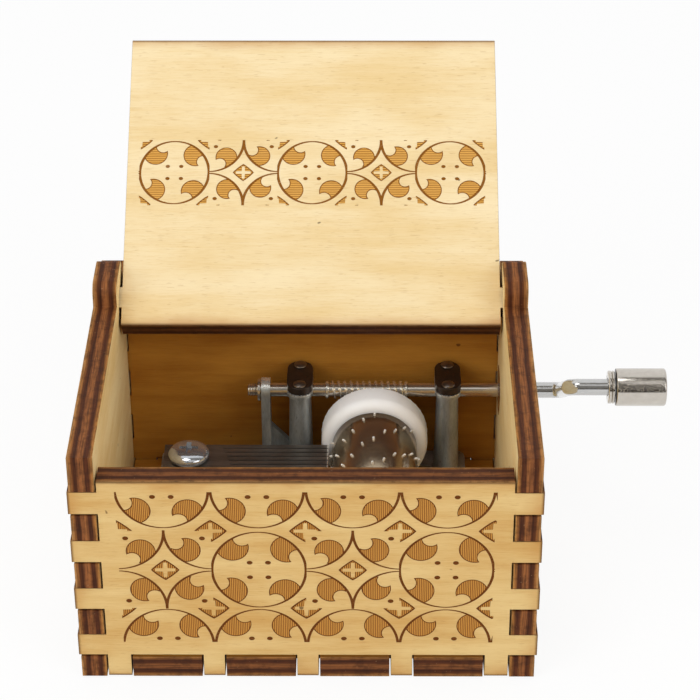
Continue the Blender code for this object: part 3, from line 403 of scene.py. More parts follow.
class Ornament:
    """Engraved marks, each a share from 0 to 1: thin lines, hatched leaves and hatched lozenges."""

    def __init__(self):
        self.lines = None
        self.leaves = None
        self.lozenges = None

    def add(self, kind, marks):
        old = getattr(self, kind)
        setattr(self, kind, marks if old is None else old.high(marks))

    def add_leaves(self, signed, where):
        self.add("leaves", signed.below(0.0) * where)
        self.add("lines", (abs(signed + OUTLINE / 2) - OUTLINE / 2).below(0.0) * where)

    def add_lozenge(self, across, up, half, size, where):
        share, cross = crossed_lozenge(across, up, half, size)
        self.add("lozenges", share.below(1.0) * cross.above(1.0) * where)
        rim = share.above(RIM_SHARE) * share.below(1.0) * cross.above(1.0)
        self.add("lines", rim * where)

    def keep(self, inside):
        return self.lines * inside, self.leaves * inside, self.lozenges * inside


def hoops_and_diamonds(made, x, up, first, size=1.0):
    """A row of diamonds, each between four arcs, in turn with whole hoops. Size scales it."""
    pitch = PITCH * size
    hoop = HOOP * size
    to_diamond = (x - first).wrap(2 * pitch)
    to_hoop = (x - (first + pitch)).wrap(2 * pitch)
    to_joint = (x - (first - pitch / 2)).wrap(pitch)
    row = abs(up).below(ROW_STEP * size + ROW_MARGIN)
    in_diamond = abs(to_diamond).below(pitch / 2) * row
    in_hoop = abs(to_hoop).below(pitch / 2 + ROW_MARGIN) * row

    made.add("lines", arc_line(to_hoop, up, hoop, size) * in_hoop)
    made.add_leaves(leaves(to_hoop, up, size, hoop), in_hoop)
    made.add("lines", dots(to_hoop, up, HOOP_DOTS, size) * in_hoop)

    from_joint = abs(up) - ROW_STEP * size
    signed = from_joint * (up.above(0.0) * 2 - 1)
    made.add("lines", arc_line(to_joint, from_joint, hoop, size) * in_diamond)
    made.add_leaves(leaves(to_joint, signed, DIAMOND_LEAF * size, hoop), in_diamond)
    made.add("lines", dots(to_diamond, up, DIAMOND_DOTS, size) * in_diamond)
    made.add_lozenge(to_diamond, up, DIAMOND_LOZENGE, size, in_diamond)
    plain = 1 - from_joint.below(0.0) * in_diamond
    made.add_lozenge(to_joint, from_joint, JOINT_LOZENGE, size, plain)


def front_ornament(x, z):
    """The pattern engraved all over the front."""
    made = Ornament()
    up = z - MIDDLE_ROW
    hoops_and_diamonds(made, x, up, FIRST_COLUMN)
    to_column = (x - FIRST_COLUMN).wrap(PITCH)
    for row, inward in ((TOP_ROW, -1), (BOTTOM_ROW, 1)):
        away = z - row
        here = abs(up).above(ROW_STEP)
        made.add("lines", arc_line(to_column, away, HALF_HOOP) * here)
        whole = here * (away * inward).above(BORDER_LEAF_START)
        made.add_leaves(leaves(to_column, away, BORDER_LEAF, HALF_HOOP), whole)
        made.add("lines", dots(to_column, away, BORDER_DOTS) * here)
    inside = abs(x - PATTERN_CENTRE).below(PATTERN_HALF_WIDTH)
    inside = inside * z.above(PATTERN_LOW) * z.below(PATTERN_HIGH)
    return made.keep(inside)


def lid_ornament(x, out):
    """A single plain row of the same hoops and diamonds across the lid."""
    made = Ornament()
    first = -PITCH * LID_ROW_SIZE
    up = out - LID_ROW
    hoops_and_diamonds(made, x, up, first, LID_ROW_SIZE)
    half_length = LID_FIGURES / 2 * PITCH * LID_ROW_SIZE
    inside = abs(x).below(half_length + LID_ROW_MARGIN)
    inside = inside * abs(up).below(ROW_STEP * LID_ROW_SIZE + ROW_MARGIN)
    return made.keep(inside)


def along(values, axis, offset):
    """The coordinate along an axis, less an offset."""
    total = None
    for value, share in zip(values, axis):
        if abs(share) > 1e-6:
            part = value * share
            total = part if total is None else total + part
    return total - offset


def wood(
    name, axes, start, spans, outer, inner, ornament=None, hatch=None, ink=None,
    toast=TOAST_BORDER, char_and_shade=0.3, seed=0.0
):
    """Laser-cut plywood.

    Axes run along the grain, across it and out through the sheet. Start is where the second axis
    starts, and where the sheet's inner side lies on the third. Spans are the sheet's two ends along
    the grain and across it. Outer and inner are the two sides' veneers. Char and shade is how dark
    the cut edges are: burn, and on the lid also painted shade, as its edge strip faces down.
    """
    shade = Shade(name)
    place = shade.place()
    grain = along(place, axes[0], 0.0)
    cross = along(place, axes[1], start[0])
    depth = along(place, axes[2], start[1])
    through = along(shade.normal(), axes[2], 0.0)
    outside = through.above(SIDE_FACING)
    face = abs(through).above(SIDE_FACING)

    cloud = shade.noise(grain * 0.05, cross * 0.16, seed, detail=4.0)
    band = shade.noise(grain * 0.03, cross * 0.7, seed + 5, detail=3.0, rough=0.6)
    fibre = shade.noise(grain * 0.35, cross * 5.0, seed + 9, detail=4.0, rough=0.65)
    dash = shade.noise(grain * 0.55, cross * 6.5, seed + 17, detail=1.0)
    tone = cloud * 0.85 + band * 0.35 + fibre * 0.25 - 0.23
    sides = []
    for light, warm in (inner, outer):
        sides.append(shade.mix(tone.step(0.25, 0.75), light, warm))
    colour = shade.mix(outside, *sides)
    streak = dash.step(0.66, 0.73)
    colour = shade.mix(streak * 0.28, colour, PORE)
    colour = shade.mix(fibre.step(0.5, 0.72) * 0.12, colour, PORE)

    # Toasted borders where the laser cut the sheet
    (low_grain, high_grain), (low_cross, high_cross) = spans
    border = (grain - low_grain).low(high_grain - grain)
    border = border.low(cross - low_cross).low(high_cross - cross)
    patch = shade.noise(grain * 0.09, cross * 0.09, seed + 31, detail=3.0)
    reach, roam, depth_of_toast = toast
    ragged = border + (patch - 0.5) * roam + (band - 0.5) * (roam * 0.28)
    colour = shade.mix(ragged.step(reach, -0.6 * reach) * depth_of_toast, colour, TOAST)
    knot = shade.noise(grain * 0.42, cross * 0.55, seed + 43, detail=1.0)
    colour = shade.mix(knot.step(0.775, 0.8) * 0.7, colour, CHAR)
    colour = shade.mix(border.step(0.5, 0.0) * 0.8, colour, CHAR)

    height = fibre * 0.02 - streak * 0.015
    if ornament is not None:
        lines, fill, lozenges = ornament(grain, cross)
        direction, pitch = hatch
        run = (cross if direction == "level" else grain) + (fibre - 0.5) * 0.05
        ridge = run.wave(pitch).step(0.15, 0.85)
        line, stroke, groove = ink
        burnt = shade.mix(ridge, groove, stroke)
        cut = fill.high(lozenges) * outside
        colour = shade.mix(cut * (1 - tone.step(0.2, 0.9) * 0.12), colour, burnt)
        colour = shade.mix(lozenges * outside * (1 - ridge) * 0.6, colour, line)
        colour = shade.mix(lines * outside * (1 - fibre.step(0.5, 0.8) * 0.25), colour, line)
        height = height - cut.high(lines * outside) * ENGRAVED_DEPTH - cut * ridge * HATCH_DEPTH

    # The cut edges show the layers of the sheet, scorched and streaked
    wobble = shade.noise(grain * 0.22, cross * 0.22, seed + 3, detail=2.0) - 0.5
    sheet = depth / PLY + wobble * 0.07
    layers = shade.ramp(sheet, LAYERS)
    fine = shade.noise(grain * 0.25, cross * 0.25, depth * 7.0 + seed, detail=2.0)
    layers = shade.mix(fine.step(0.45, 0.62) * 0.5, layers, BURNT)
    soot = shade.noise(grain * 0.9, cross * 0.9, depth * 0.8 + seed, detail=4.0, rough=0.6)
    layers = shade.mix(soot.step(0.42, 0.7) * 0.45, layers, BURNT)
    # Burn on the cut edges, set per panel; the lid's darker edges also paint the shade on its edge
    # strip
    layers = shade.mix(char_and_shade, layers, BURNT)
    glint = shade.noise(grain * 3.2, cross * 3.2, depth * 3.0 + seed, detail=1.0)
    layers = shade.mix(glint.step(0.72, 0.84) * 0.3, layers, GLINT)
    colour = shade.mix(face, layers, colour)
    rough = fibre * 0.2 + WOOD_ROUGHNESS
    shade.put("Specular IOR Level", WOOD_SHEEN)
    edge_height = (fine * 0.03 + soot * 0.05) * (1 - face)
    return shade.finish(colour, rough, height * face + edge_height)


# How fine the metals' variation is, and how much broader their clouds are
METAL_GRAIN = 2.2
METAL_CLOUDS = 0.16


def metal(
    name, colour, rough, spread, grain, metallic=1.0, size=(1, 1, 1), bump=0.0, pits=0.0,
    worn=None, highlight_and_shade_band=None
):
    """A metal with fine variation in tone, roughness and surface, and worn spots.

    Spread and grain are how much its tone and its roughness vary. Size makes the variation finer
    along each axis. Pits are the depth of small marks. Worn is the colour of the worn spots. The
    band is an axis, two places on it and a colour: past the second place the metal has that colour
    and is a little smoother, which paints a highlight on some parts and shade on others.
    """
    shade = Shade(name)
    place = shade.place()
    fine_size = [METAL_GRAIN * share for share in size]
    fine_place = [value * share for value, share in zip(place, fine_size)]
    fine = shade.noise(*fine_place, detail=5.0, rough=0.6)
    broad_place = [value * (share * METAL_CLOUDS) for value, share in zip(place, fine_size)]
    broad = shade.noise(*broad_place, detail=3.0)
    dark = tuple(value * (1 - 2 * spread) for value in colour[:3]) + (1,)
    light = tuple(min(value * (1 + spread), 1) for value in colour[:3]) + (1,)
    tone = shade.mix((fine * 0.5 + broad * 0.5).step(0.3, 0.7), dark, light)
    if worn is not None:
        tone = shade.mix(fine.step(0.58, 0.7) * 0.6, tone, worn)
    roughness = (fine - 0.5) * grain + broad * (grain * 0.5) + rough
    # A band of another colour, a little smoother: painted highlight on the posts, painted shade on
    # the drum
    if highlight_and_shade_band is not None:
        axis, start, end, bright = highlight_and_shade_band
        share = place[axis].step(start, end)
        tone = shade.mix(share, tone, bright)
        roughness = roughness - share * (rough * 0.4)
    shade.put("Metallic", metallic)
    height = fine * bump - fine.step(0.57, 0.64) * pits if bump else None
    return shade.finish(tone, roughness, height)


def nylon(name):
    """Milky moulded nylon, a little translucent, with faint flow marks."""
    shade = Shade(name)
    x, y, z = shade.place()
    fine = shade.noise(x * 1.6, y * 1.6, z * 1.6, detail=4.0)
    broad = shade.noise(x * 0.25, y * 0.25, z * 0.25, detail=2.0)
    tone = shade.mix(broad.step(0.3, 0.7), screen(252, 252, 250), screen(254, 254, 253))
    tone = shade.mix(fine.step(0.6, 0.78) * 0.1, tone, screen(196, 190, 180))
    shade.put("Subsurface Weight", 0.1)
    shade.put("Subsurface Radius", (1, 0.97, 0.92))
    shade.put("Subsurface Scale", 0.6 * MM)
    return shade.finish(tone, fine * 0.12 + 0.36, fine * 0.02)


# Directions
X = (1, 0, 0)
Y = (0, 1, 0)
Z = (0, 0, 1)
TO_FRONT = (0, -1, 0)
TO_LEFT = (-1, 0, 0)
TO_BELOW = (0, 0, -1)

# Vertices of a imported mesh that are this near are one
WELD = 0.002

# A face whose normal has at least this share along an axis faces along it
FACING = 0.9


def mesh_of(name, shape):
    """A mesh made from a bmesh, which is then given up."""
    mesh = bpy.data.meshes.new(name)
    shape.to_mesh(mesh)
    shape.free()
    return mesh


def add_object(name, data):
    made = bpy.data.objects.new(name, data)
    bpy.context.scene.collection.objects.link(made)
    return made


def dress(node, material, edge=0.0, angle=35, segments=2):
    """A copy of a CAD node with smooth shading and slightly rounded edges, which stands for it."""
    shape = bmesh.new()
    shape.from_mesh(NODES[node].data)
    bmesh.ops.remove_doubles(shape, verts=shape.verts, dist=WELD * MM)
    bmesh.ops.dissolve_limit(shape, angle_limit=radians(1), verts=shape.verts, edges=shape.edges)
    made = piece(f"{node}_look", shape, material, [node], angle)
    if edge:
        bevel = made.modifiers.new("edges", "BEVEL")
        bevel.width = edge * MM
        bevel.segments = segments
        bevel.limit_method = "ANGLE"
        bevel.angle_limit = radians(angle)
        bevel.harden_normals = True


def piece(name, shape, material, nodes, angle):
    """A new object made from a bmesh, which rides with its nodes' body and stands for them."""
    mesh = mesh_of(name, shape)
    mesh.materials.append(material)
    mesh.shade_smooth()
    mesh.set_sharp_from_angle(angle=radians(angle))
    made = add_object(name, mesh)
    settle(made, nodes)
    return made


def second_finish(made, material, chosen):
    """Gives the chosen faces of a piece a second material."""
    made.data.materials.append(material)
    for face in made.data.polygons:
        if chosen(face):
            face.material_index = 1


def settle(made, nodes):
    """A piece rides with its nodes' body and stands for them."""
    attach(made, BODY_OF[nodes[0]])
    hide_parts(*nodes)


def corners(shape, points):
    """New vertices at points in millimetres."""
    return [shape.verts.new(point * MM) for point in points]


def circle(first, second, sides):
    """Directions all round in the plane of two others."""
    angles = [2 * pi * i / sides for i in range(sides)]
    return [first * cos(angle) + second * sin(angle) for angle in angles]


def turned(profile, axis, place, sides, closed=True):
    """A new bmesh: (radius, along) points turned round an axis through a place, in millimetres."""
    shape = bmesh.new()
    main = Vector(axis)
    first = Vector(Y) if axis == X else Vector(X)
    around = circle(first, main.cross(first), sides)
    rings = []
    for radius, step in profile:
        middle = Vector(place) + main * step
        ring = [middle + outward * radius for outward in around] if radius else [middle]
        rings.append(corners(shape, ring))
    pairs = list(zip(rings, rings[1:]))
    if closed and len(rings[0]) > 1:
        pairs.append((rings[-1], rings[0]))
    for one, two in pairs:
        for i in range(sides):
            j = (i + 1) % sides
            if len(one) == 1:
                shape.faces.new((one[0], two[j], two[i]))
            elif len(two) == 1:
                shape.faces.new((one[i], one[j], two[0]))
            else:
                shape.faces.new((one[i], one[j], two[j], two[i]))
    bmesh.ops.recalc_face_normals(shape, faces=shape.faces)
    return shape


def skin(shape, rings):
    """Faces between rings of points, each with the next. Returns the two end rings' vertices."""
    rings = [corners(shape, ring) for ring in rings]
    for one, two in zip(rings, rings[1:]):
        for i in range(len(one)):
            j = (i + 1) % len(one)
            shape.faces.new((one[i], one[j], two[j], two[i]))
    return rings[0], rings[-1]


def rounded(radius, along_axis, turn_from, turn_to, size, steps=5):
    """Points of a small arc round (radius, along_axis), with its angles in degrees."""
    points = []
    for i in range(steps + 1):
        angle = radians(turn_from + (turn_to - turn_from) * i / steps)
        points.append((radius + size * cos(angle), along_axis + size * sin(angle)))
    return points


# The movement's axes, read from the frame
SHAFT_CENTRE = Vector((0, *joint_mm("crank_turn").yz))
KNOB_CENTRE = Vector((0, *joint_mm("knob_spin").yz))
DRUM_CENTRE = joint_mm("drum_turn") * Vector((1, 0, 1))

# The crank's wire: its tenon in the shaft, its two bends and its peened end
ARM_X = 37.7
WIRE_RADIUS = 1.2
TENON_RADIUS = 0.55
TENON_GAP = 0.15
BEND_RADIUS = 1.4
BEND_STEPS = 14
PEEN_RADIUS = 1.55
PEEN_HEIGHT = 0.45
PEEN_EDGE = 0.05
PEEN_STEPS = 6

# The knob and its collar
KNOB_BORE = 1.3
KNOB_SHARP_EDGE = 0.12
KNOB_ROUND_EDGE = 0.32
KNOB_RECESS = 1.95
KNOB_RECESS_DEPTH = 0.9
KNOB_RECESS_EDGE = 0.15
COLLAR_BORE = 1.35
COLLAR_EDGE = 0.12
COLLAR_GROOVE_PLACE = 0.58
COLLAR_GROOVE_HALF = 0.1
COLLAR_GROOVE_DEPTH = 0.16

# The crank's shaft: its knurled left end, and its worm between two small collars
SHAFT_RADIUS = 1.05
SHAFT_EDGE = 0.12
SHAFT_LEFT = -9.8
SHAFT_RIGHT = 29.6
KNURL_LENGTH = 1.5
KNURL_GROOVES = 4
KNURL_DEPTH = 0.16
WORM_LEFT = 2.0
WORM_RIGHT = 14.4
WORM_PITCH = 0.935
WORM_STEPS = 36
WORM_TIP_RADIUS = 1.45
WORM_COLLAR = 0.45
WORM_COLLAR_RADIUS = 1.35
WORM_COLLAR_EDGE = 0.08
WORM_END_GAP = 0.24
# One flank of the worm's thread: along the shaft, and out from its middle
WORM_FLANK = [(-0.22, 0.95), (-0.2, 1.12), (-0.17, 1.28), (-0.1, 1.4)]


def knob(material, seam_shade_material):
    """The turned knob: a bored left face darkened as painted seam shade, a rounded right edge and
    an end recess.
    """
    low, high = box_mm("knob")
    radius = (high.z - low.z) / 2
    sharp = KNOB_SHARP_EDGE
    edge = KNOB_ROUND_EDGE
    rim = KNOB_RECESS_EDGE
    floor = high.x - KNOB_RECESS_DEPTH
    profile = [(KNOB_BORE, low.x)]
    profile += rounded(radius - sharp, low.x + sharp, -90, 0, sharp, 3)
    profile += rounded(radius - edge, high.x - edge, 0, 90, edge)
    profile += rounded(KNOB_RECESS + rim, high.x - rim, 90, 180, rim, 3)
    profile += [(KNOB_RECESS, floor), (KNOB_BORE, floor)]
    shape = turned(profile, X, KNOB_CENTRE, 96)
    made = piece("turned_knob", shape, material, ["knob"], 30)
    second_finish(made, seam_shade_material, lambda face: face.normal.x < -FACING)


def knob_collar(material, seam_shade_material):
    """The collar against the knob: a fine groove round its middle, and a right face darkened as
    painted seam shade.
    """
    low, high = box_mm("knob_collar")
    radius = (high.z - low.z) / 2
    edge = COLLAR_EDGE
    groove = low.x * (1 - COLLAR_GROOVE_PLACE) + high.x * COLLAR_GROOVE_PLACE
    profile = [(COLLAR_BORE, low.x)]
    profile += rounded(radius - edge, low.x + edge, -90, 0, edge, 4)
    profile.append((radius, groove - COLLAR_GROOVE_HALF))
    profile.append((radius - COLLAR_GROOVE_DEPTH, groove))
    profile.append((radius, groove + COLLAR_GROOVE_HALF))
    profile += rounded(radius - edge, high.x - edge, 0, 90, edge, 4)
    profile.append((COLLAR_BORE, high.x))
    shape = turned(profile, X, KNOB_CENTRE, 72)
    made = piece("grooved_collar", shape, material, ["knob_collar"], 30)
    second_finish(made, seam_shade_material, lambda face: face.normal.x > FACING)


# The comb's screws: a pan head with an upright wall under its dome, a shank and a cross recess
SCREW_HEAD = 1.7
SCREW_WALL = 0.3 * SCREW_HEAD
SCREW_SHANK = 1.1
DOME_POINTS = 16
DOME_POWER = 0.8
RECESS_LENGTH = 3.3
RECESS_WIDTH = 0.8
RECESS_DEPTH = 0.8
RECESS_RISE = 0.5
RECESS_FLARE = 1.12
RECESS_TAPER = 0.55


def comb_screw(node, material):
    """A domed pan head with a small cross recess, on its shank."""
    low, high = box_mm(node)
    middle = (low + high) / 2
    radius = (high.x - low.x) / 2
    seat = high.z - SCREW_HEAD
    wall = SCREW_WALL
    profile = [(0, low.z), (SCREW_SHANK, low.z), (SCREW_SHANK, seat)]
    profile += [(radius * 0.93, seat), (radius * 0.985, seat + wall * 0.4), (radius, seat + wall)]
    for i in range(1, DOME_POINTS):
        angle = pi / 2 * i / DOME_POINTS
        rise = (SCREW_HEAD - wall) * sin(angle)
        profile.append((radius * cos(angle) ** DOME_POWER, seat + wall + rise))
    profile.append((0, high.z))
    shape = turned(profile, Z, (middle.x, middle.y, 0), 72, closed=False)
    head = piece(f"domed_{node}", shape, material, [node], 40)
    cutter = cross_cutter(f"{node}_recess", middle.x, middle.y, high.z)
    cut = head.modifiers.new("recess", "BOOLEAN")
    cut.operation = "DIFFERENCE"
    cut.solver = "EXACT"
    cut.object = cutter
    evaluated = head.evaluated_get(bpy.context.evaluated_depsgraph_get())
    cut_mesh = bpy.data.meshes.new_from_object(evaluated)
    head.modifiers.clear()
    head.data = cut_mesh
    head.data.set_sharp_from_angle(angle=radians(40))
    bpy.data.objects.remove(cutter)


def cross_cutter(name, x, y, top):
    """A tapered cross that cuts a screw's recess."""
    shape = bmesh.new()
    outline = []
    long = RECESS_LENGTH / 2
    short = RECESS_WIDTH / 2
    for along_x, along_y in ((1, 0), (0, 1), (-1, 0), (0, -1)):
        for forward, side in ((short, -short), (long, -short), (long, short)):
            across = forward * along_x - side * along_y
            outline.append((across, forward * along_y + side * along_x))
    rings = []
    for height, scale in ((RECESS_RISE, RECESS_FLARE), (-RECESS_DEPTH, RECESS_TAPER)):
        rings.append([Vector((x + u * scale, y + v * scale, top + height)) for u, v in outline])
    for ring in skin(shape, rings):
        shape.faces.new(ring)
    bmesh.ops.recalc_face_normals(shape, faces=shape.faces)
    return add_object(name, mesh_of(name, shape))


def bend(corner, entry, leave):
    """Points of a quarter bend in the wire, from entry's direction into leave's."""
    middle = corner - entry * BEND_RADIUS + leave * BEND_RADIUS
    points = []
    for i in range(BEND_STEPS + 1):
        angle = pi / 2 * i / BEND_STEPS
        back = leave * (BEND_RADIUS * cos(angle))
        points.append(middle - back + entry * (BEND_RADIUS * sin(angle)))
    return points


def crank_wire(material):
    """The bent wire from the shaft's end to the peened head in the knob."""
    low, high = box_mm("crank_handle")
    sideways = Vector(X)
    start = SHAFT_CENTRE
    end = KNOB_CENTRE
    arm = (end - start).normalized()
    seat = SHAFT_RIGHT + TENON_GAP
    route = [(start + sideways * place, TENON_RADIUS) for place in (low.x, seat - 0.01)]
    for step, share in ((0, 0.92), (0.1, 1), (0.3, 1), (0.5, 1)):
        route.append((start + sideways * (seat + step), WIRE_RADIUS * share))
    turns = bend(start + sideways * ARM_X, sideways, arm)
    turns += bend(end + sideways * ARM_X, arm, sideways)
    route += [(point, WIRE_RADIUS) for point in turns]
    foot = high.x - PEEN_HEIGHT
    route += [(end + sideways * (foot - step), WIRE_RADIUS) for step in (0.5, 0.3, 0.01)]
    route.append((end + sideways * foot, PEEN_RADIUS - PEEN_EDGE))
    for i in range(PEEN_STEPS):
        angle = pi / 2 * i / PEEN_STEPS
        rise = PEEN_EDGE + (PEEN_HEIGHT - PEEN_EDGE) * sin(angle)
        route.append((end + sideways * (foot + rise), PEEN_RADIUS * cos(angle) + 0.01))
    curve = bpy.data.curves.new("crank_wire", "CURVE")
    curve.dimensions = "3D"
    curve.bevel_depth = WIRE_RADIUS * MM
    curve.bevel_resolution = 8
    curve.use_fill_caps = True
    spline = curve.splines.new("POLY")
    spline.use_smooth = True
    spline.points.add(len(route) - 1)
    for point, (place, radius) in zip(spline.points, route):
        point.co = (*(place * MM), 1)
        point.radius = radius / WIRE_RADIUS
    curve.materials.append(material)
    settle(add_object("crank_wire", curve), ["crank_handle"])


def worm_shaft(material, highlighted_crest_material):
    """The ground shaft with its knurled end, two small collars and the worm's rounded thread."""
    radius = SHAFT_RADIUS
    edge = WORM_COLLAR_EDGE
    tip = WORM_COLLAR_RADIUS
    profile = [(0, SHAFT_RIGHT), (radius - SHAFT_EDGE, SHAFT_RIGHT)]
    profile.append((radius, SHAFT_RIGHT - SHAFT_EDGE))
    for right in (WORM_RIGHT, WORM_LEFT + WORM_COLLAR):
        left = right - WORM_COLLAR
        profile += [(radius, right), (tip - edge, right), (tip, right - edge)]
        profile += [(tip, left + edge), (tip - edge, left), (radius, left)]
    knurl = SHAFT_LEFT + KNURL_LENGTH
    for i in range(KNURL_GROOVES):
        start = knurl - i * KNURL_LENGTH / KNURL_GROOVES
        for k in range(6):
            share = k / 6
            place = start - KNURL_LENGTH / KNURL_GROOVES * share
            profile.append((radius - KNURL_DEPTH * sin(pi * share), place))
    profile += [(radius * 0.82, SHAFT_LEFT + 0.05), (radius * 0.7, SHAFT_LEFT), (0, SHAFT_LEFT)]
    shape = turned(profile, X, SHAFT_CENTRE, 48, closed=False)

    shaft_faces = len(shape.faces)
    left = WORM_LEFT + WORM_COLLAR + WORM_END_GAP
    right = WORM_RIGHT - WORM_COLLAR - WORM_END_GAP
    count = int((right - left) / WORM_PITCH * WORM_STEPS)
    section = [*WORM_FLANK, (0, WORM_TIP_RADIUS)]
    section += [(-side, height) for side, height in reversed(WORM_FLANK)]
    rings = []
    for i in range(count + 1):
        x = left + i * WORM_PITCH / WORM_STEPS
        angle = pi + 2 * pi * (x - DRUM_CENTRE.x - WORM_PITCH / 2) / WORM_PITCH
        outward = Vector((0, cos(angle), sin(angle)))
        middle = SHAFT_CENTRE + Vector(X) * x
        rings.append([middle + outward * high + Vector((side, 0, 0)) for side, high in section])
    for ring in skin(shape, rings):
        shape.faces.new(ring)
    bmesh.ops.recalc_face_normals(shape, faces=shape.faces)
    made = piece("worm_shaft", shape, material, ["crank_shaft"], 30)

    def raised(face):
        off_axis = (face.center / MM - SHAFT_CENTRE).yz.length
        return face.index >= shaft_faces or off_axis > SHAFT_RADIUS * 1.05

    # The thread and the small collars get a paler copy of the shaft's steel, as painted highlight
    second_finish(made, highlighted_crest_material, raised)


# The drum: a thin tube with pins in 18 tracks, the first of them beside the gear
DRUM_RADIUS = 6.4
DRUM_WALL = 0.8
TRACKS = 18
TRACK_PITCH = 1.04
FIRST_TRACK = 10.85
DRUM_FRONT_MARGIN = 0.47
DRUM_REAR_MARGIN = 0.65
DRUM_EDGE = 0.15
PINS_PER_TRACK = 4
PIN_SCATTER = 5
PIN_RADIUS = 0.22
PIN_TOP = 6.82
PIN_FOOT = 0.3
PIN_SIDES = 8
PIN_TAPER = ((0, 1.0), (0.55, 0.95), (0.9, 0.8), (1.0, 0.45))

# The gear: a wide rim with crown teeth on its back
GEAR_TEETH = 42
GEAR_RADIUS = 8.0
GEAR_FRONT = 11.65
GEAR_BACK = 16.15
GEAR_TOOTH_HEIGHT = 0.6
GEAR_BORE = 1.05
GEAR_SPIGOT = (5.45, 1.6)
GEAR_LIP = 1.5
RIM_BEVEL = 0.4
# A tooth's section: a share of its height, and aside from its middle
TOOTH_SECTION = ((0, -0.2), (0.6, -0.13), (1, -0.06), (1, 0.06), (0.6, 0.13), (0, 0.2))
# A tooth's crest and foot: out from the gear's middle, and back from the rim's back
TOOTH_CREST = (
    (5.25, 0.0, -0.3),
    (5.3, GEAR_TOOTH_HEIGHT * 0.92, -0.3),
    (5.7, GEAR_TOOTH_HEIGHT, -0.3),
    (6.4, GEAR_TOOTH_HEIGHT, -0.3),
    (7.6, 0.08, -0.3),
    (8.04, -0.36, -0.8),
)


def drum(material, pin_material):
    """The drum, a thin polished tube, and its tracks of fine tapered pins."""
    front = FIRST_TRACK - (TRACKS - 1) * TRACK_PITCH - PIN_RADIUS - DRUM_FRONT_MARGIN
    rear = FIRST_TRACK + DRUM_REAR_MARGIN
    edge = DRUM_EDGE
    inner = DRUM_RADIUS - DRUM_WALL
    profile = [(inner, front), *rounded(DRUM_RADIUS - edge, front + edge, -90, 0, edge, 3)]
    profile += [(DRUM_RADIUS, rear), (inner, rear)]
    shape = turned(profile, Y, DRUM_CENTRE, 128)
    smooth_faces = len(shape.faces)
    golden = pi * (3 - sqrt(5))
    for track in range(TRACKS):
        y = FIRST_TRACK - track * TRACK_PITCH
        for k in range(PINS_PER_TRACK):
            scatter = golden * (track * PINS_PER_TRACK + k) * PIN_SCATTER
            angle = scatter + 2 * pi / PINS_PER_TRACK * k
            outward = Vector((sin(angle), 0, cos(angle)))
            foot = DRUM_CENTRE + Vector(Y) * y + outward * (DRUM_RADIUS - PIN_FOOT)
            pin(shape, foot, outward, PIN_TOP - DRUM_RADIUS + PIN_FOOT)
    made = piece("polished_drum", shape, material, ["pinned_drum"], 30)
    second_finish(made, pin_material, lambda face: face.index >= smooth_faces)


def pin(shape, foot, outward, length):
    """A fine pin with a rounded tip, in millimetres."""
    first = Vector(Y)
    around = circle(first, outward.cross(first), PIN_SIDES)
    rings = []
    for share, radius in PIN_TAPER:
        middle = foot + outward * (length * share)
        rings.append([middle + aside * (PIN_RADIUS * radius) for aside in around])
    shape.faces.new(skin(shape, rings)[1])


def crown_gear(material):
    """The nylon gear: a smooth wide rim with a rounded front edge, and crown teeth behind."""
    spigot, reach = GEAR_SPIGOT
    profile = [(GEAR_BORE, GEAR_FRONT - reach), (spigot, GEAR_FRONT - reach), (spigot, GEAR_FRONT)]
    profile += rounded(GEAR_RADIUS - GEAR_LIP, GEAR_FRONT + GEAR_LIP, -90, 0, GEAR_LIP, 10)
    profile += [(GEAR_RADIUS, GEAR_BACK - RIM_BEVEL), (GEAR_RADIUS - RIM_BEVEL, GEAR_BACK)]
    profile += [(GEAR_BORE, GEAR_BACK)]
    shape = turned(profile, Y, DRUM_CENTRE, 126)
    for i in range(GEAR_TEETH):
        crown_tooth(shape, 2 * pi * i / GEAR_TEETH)
    piece("crown_gear", shape, material, ["drive_gear"], 30)


def crown_tooth(shape, angle):
    """One radial tooth with a rounded crest, which runs out down the rim's bevel."""
    outward = Vector((sin(angle), 0, cos(angle)))
    across = Vector((cos(angle), 0, -sin(angle)))
    centre = DRUM_CENTRE + Vector(Y) * GEAR_BACK
    rings = []
    for radius, top, foot in TOOTH_CREST:
        ring = []
        for share, side in TOOTH_SECTION:
            upward = Vector(Y) * (foot + (top - foot) * share)
            ring.append(centre + outward * radius + upward + across * side)
        rings.append(ring)
    first, last = skin(shape, rings)
    shape.faces.new(first)
    shape.faces.new(reversed(last))


# The panels' rounded edges, the case's inner faces, and the ends of its sheets
PANEL_EDGE = 0.07
INNER_X = SIDE_OUTER_X - PLY
INNER_Y = -FRONT_OUTER_Y - PLY
WIDE = (-SIDE_OUTER_X - 0.3, SIDE_OUTER_X + 0.3)
DEEP = (FRONT_OUTER_Y - 0.2, -FRONT_OUTER_Y + 0.2)

# The lid's directions as it leans back in the frame: out from its pivot, and up from its sheet
LID_OUT = (0, cos(pi - LID_SWING), sin(pi - LID_SWING))
LID_UP = (0, -LID_OUT[2], LID_OUT[1])

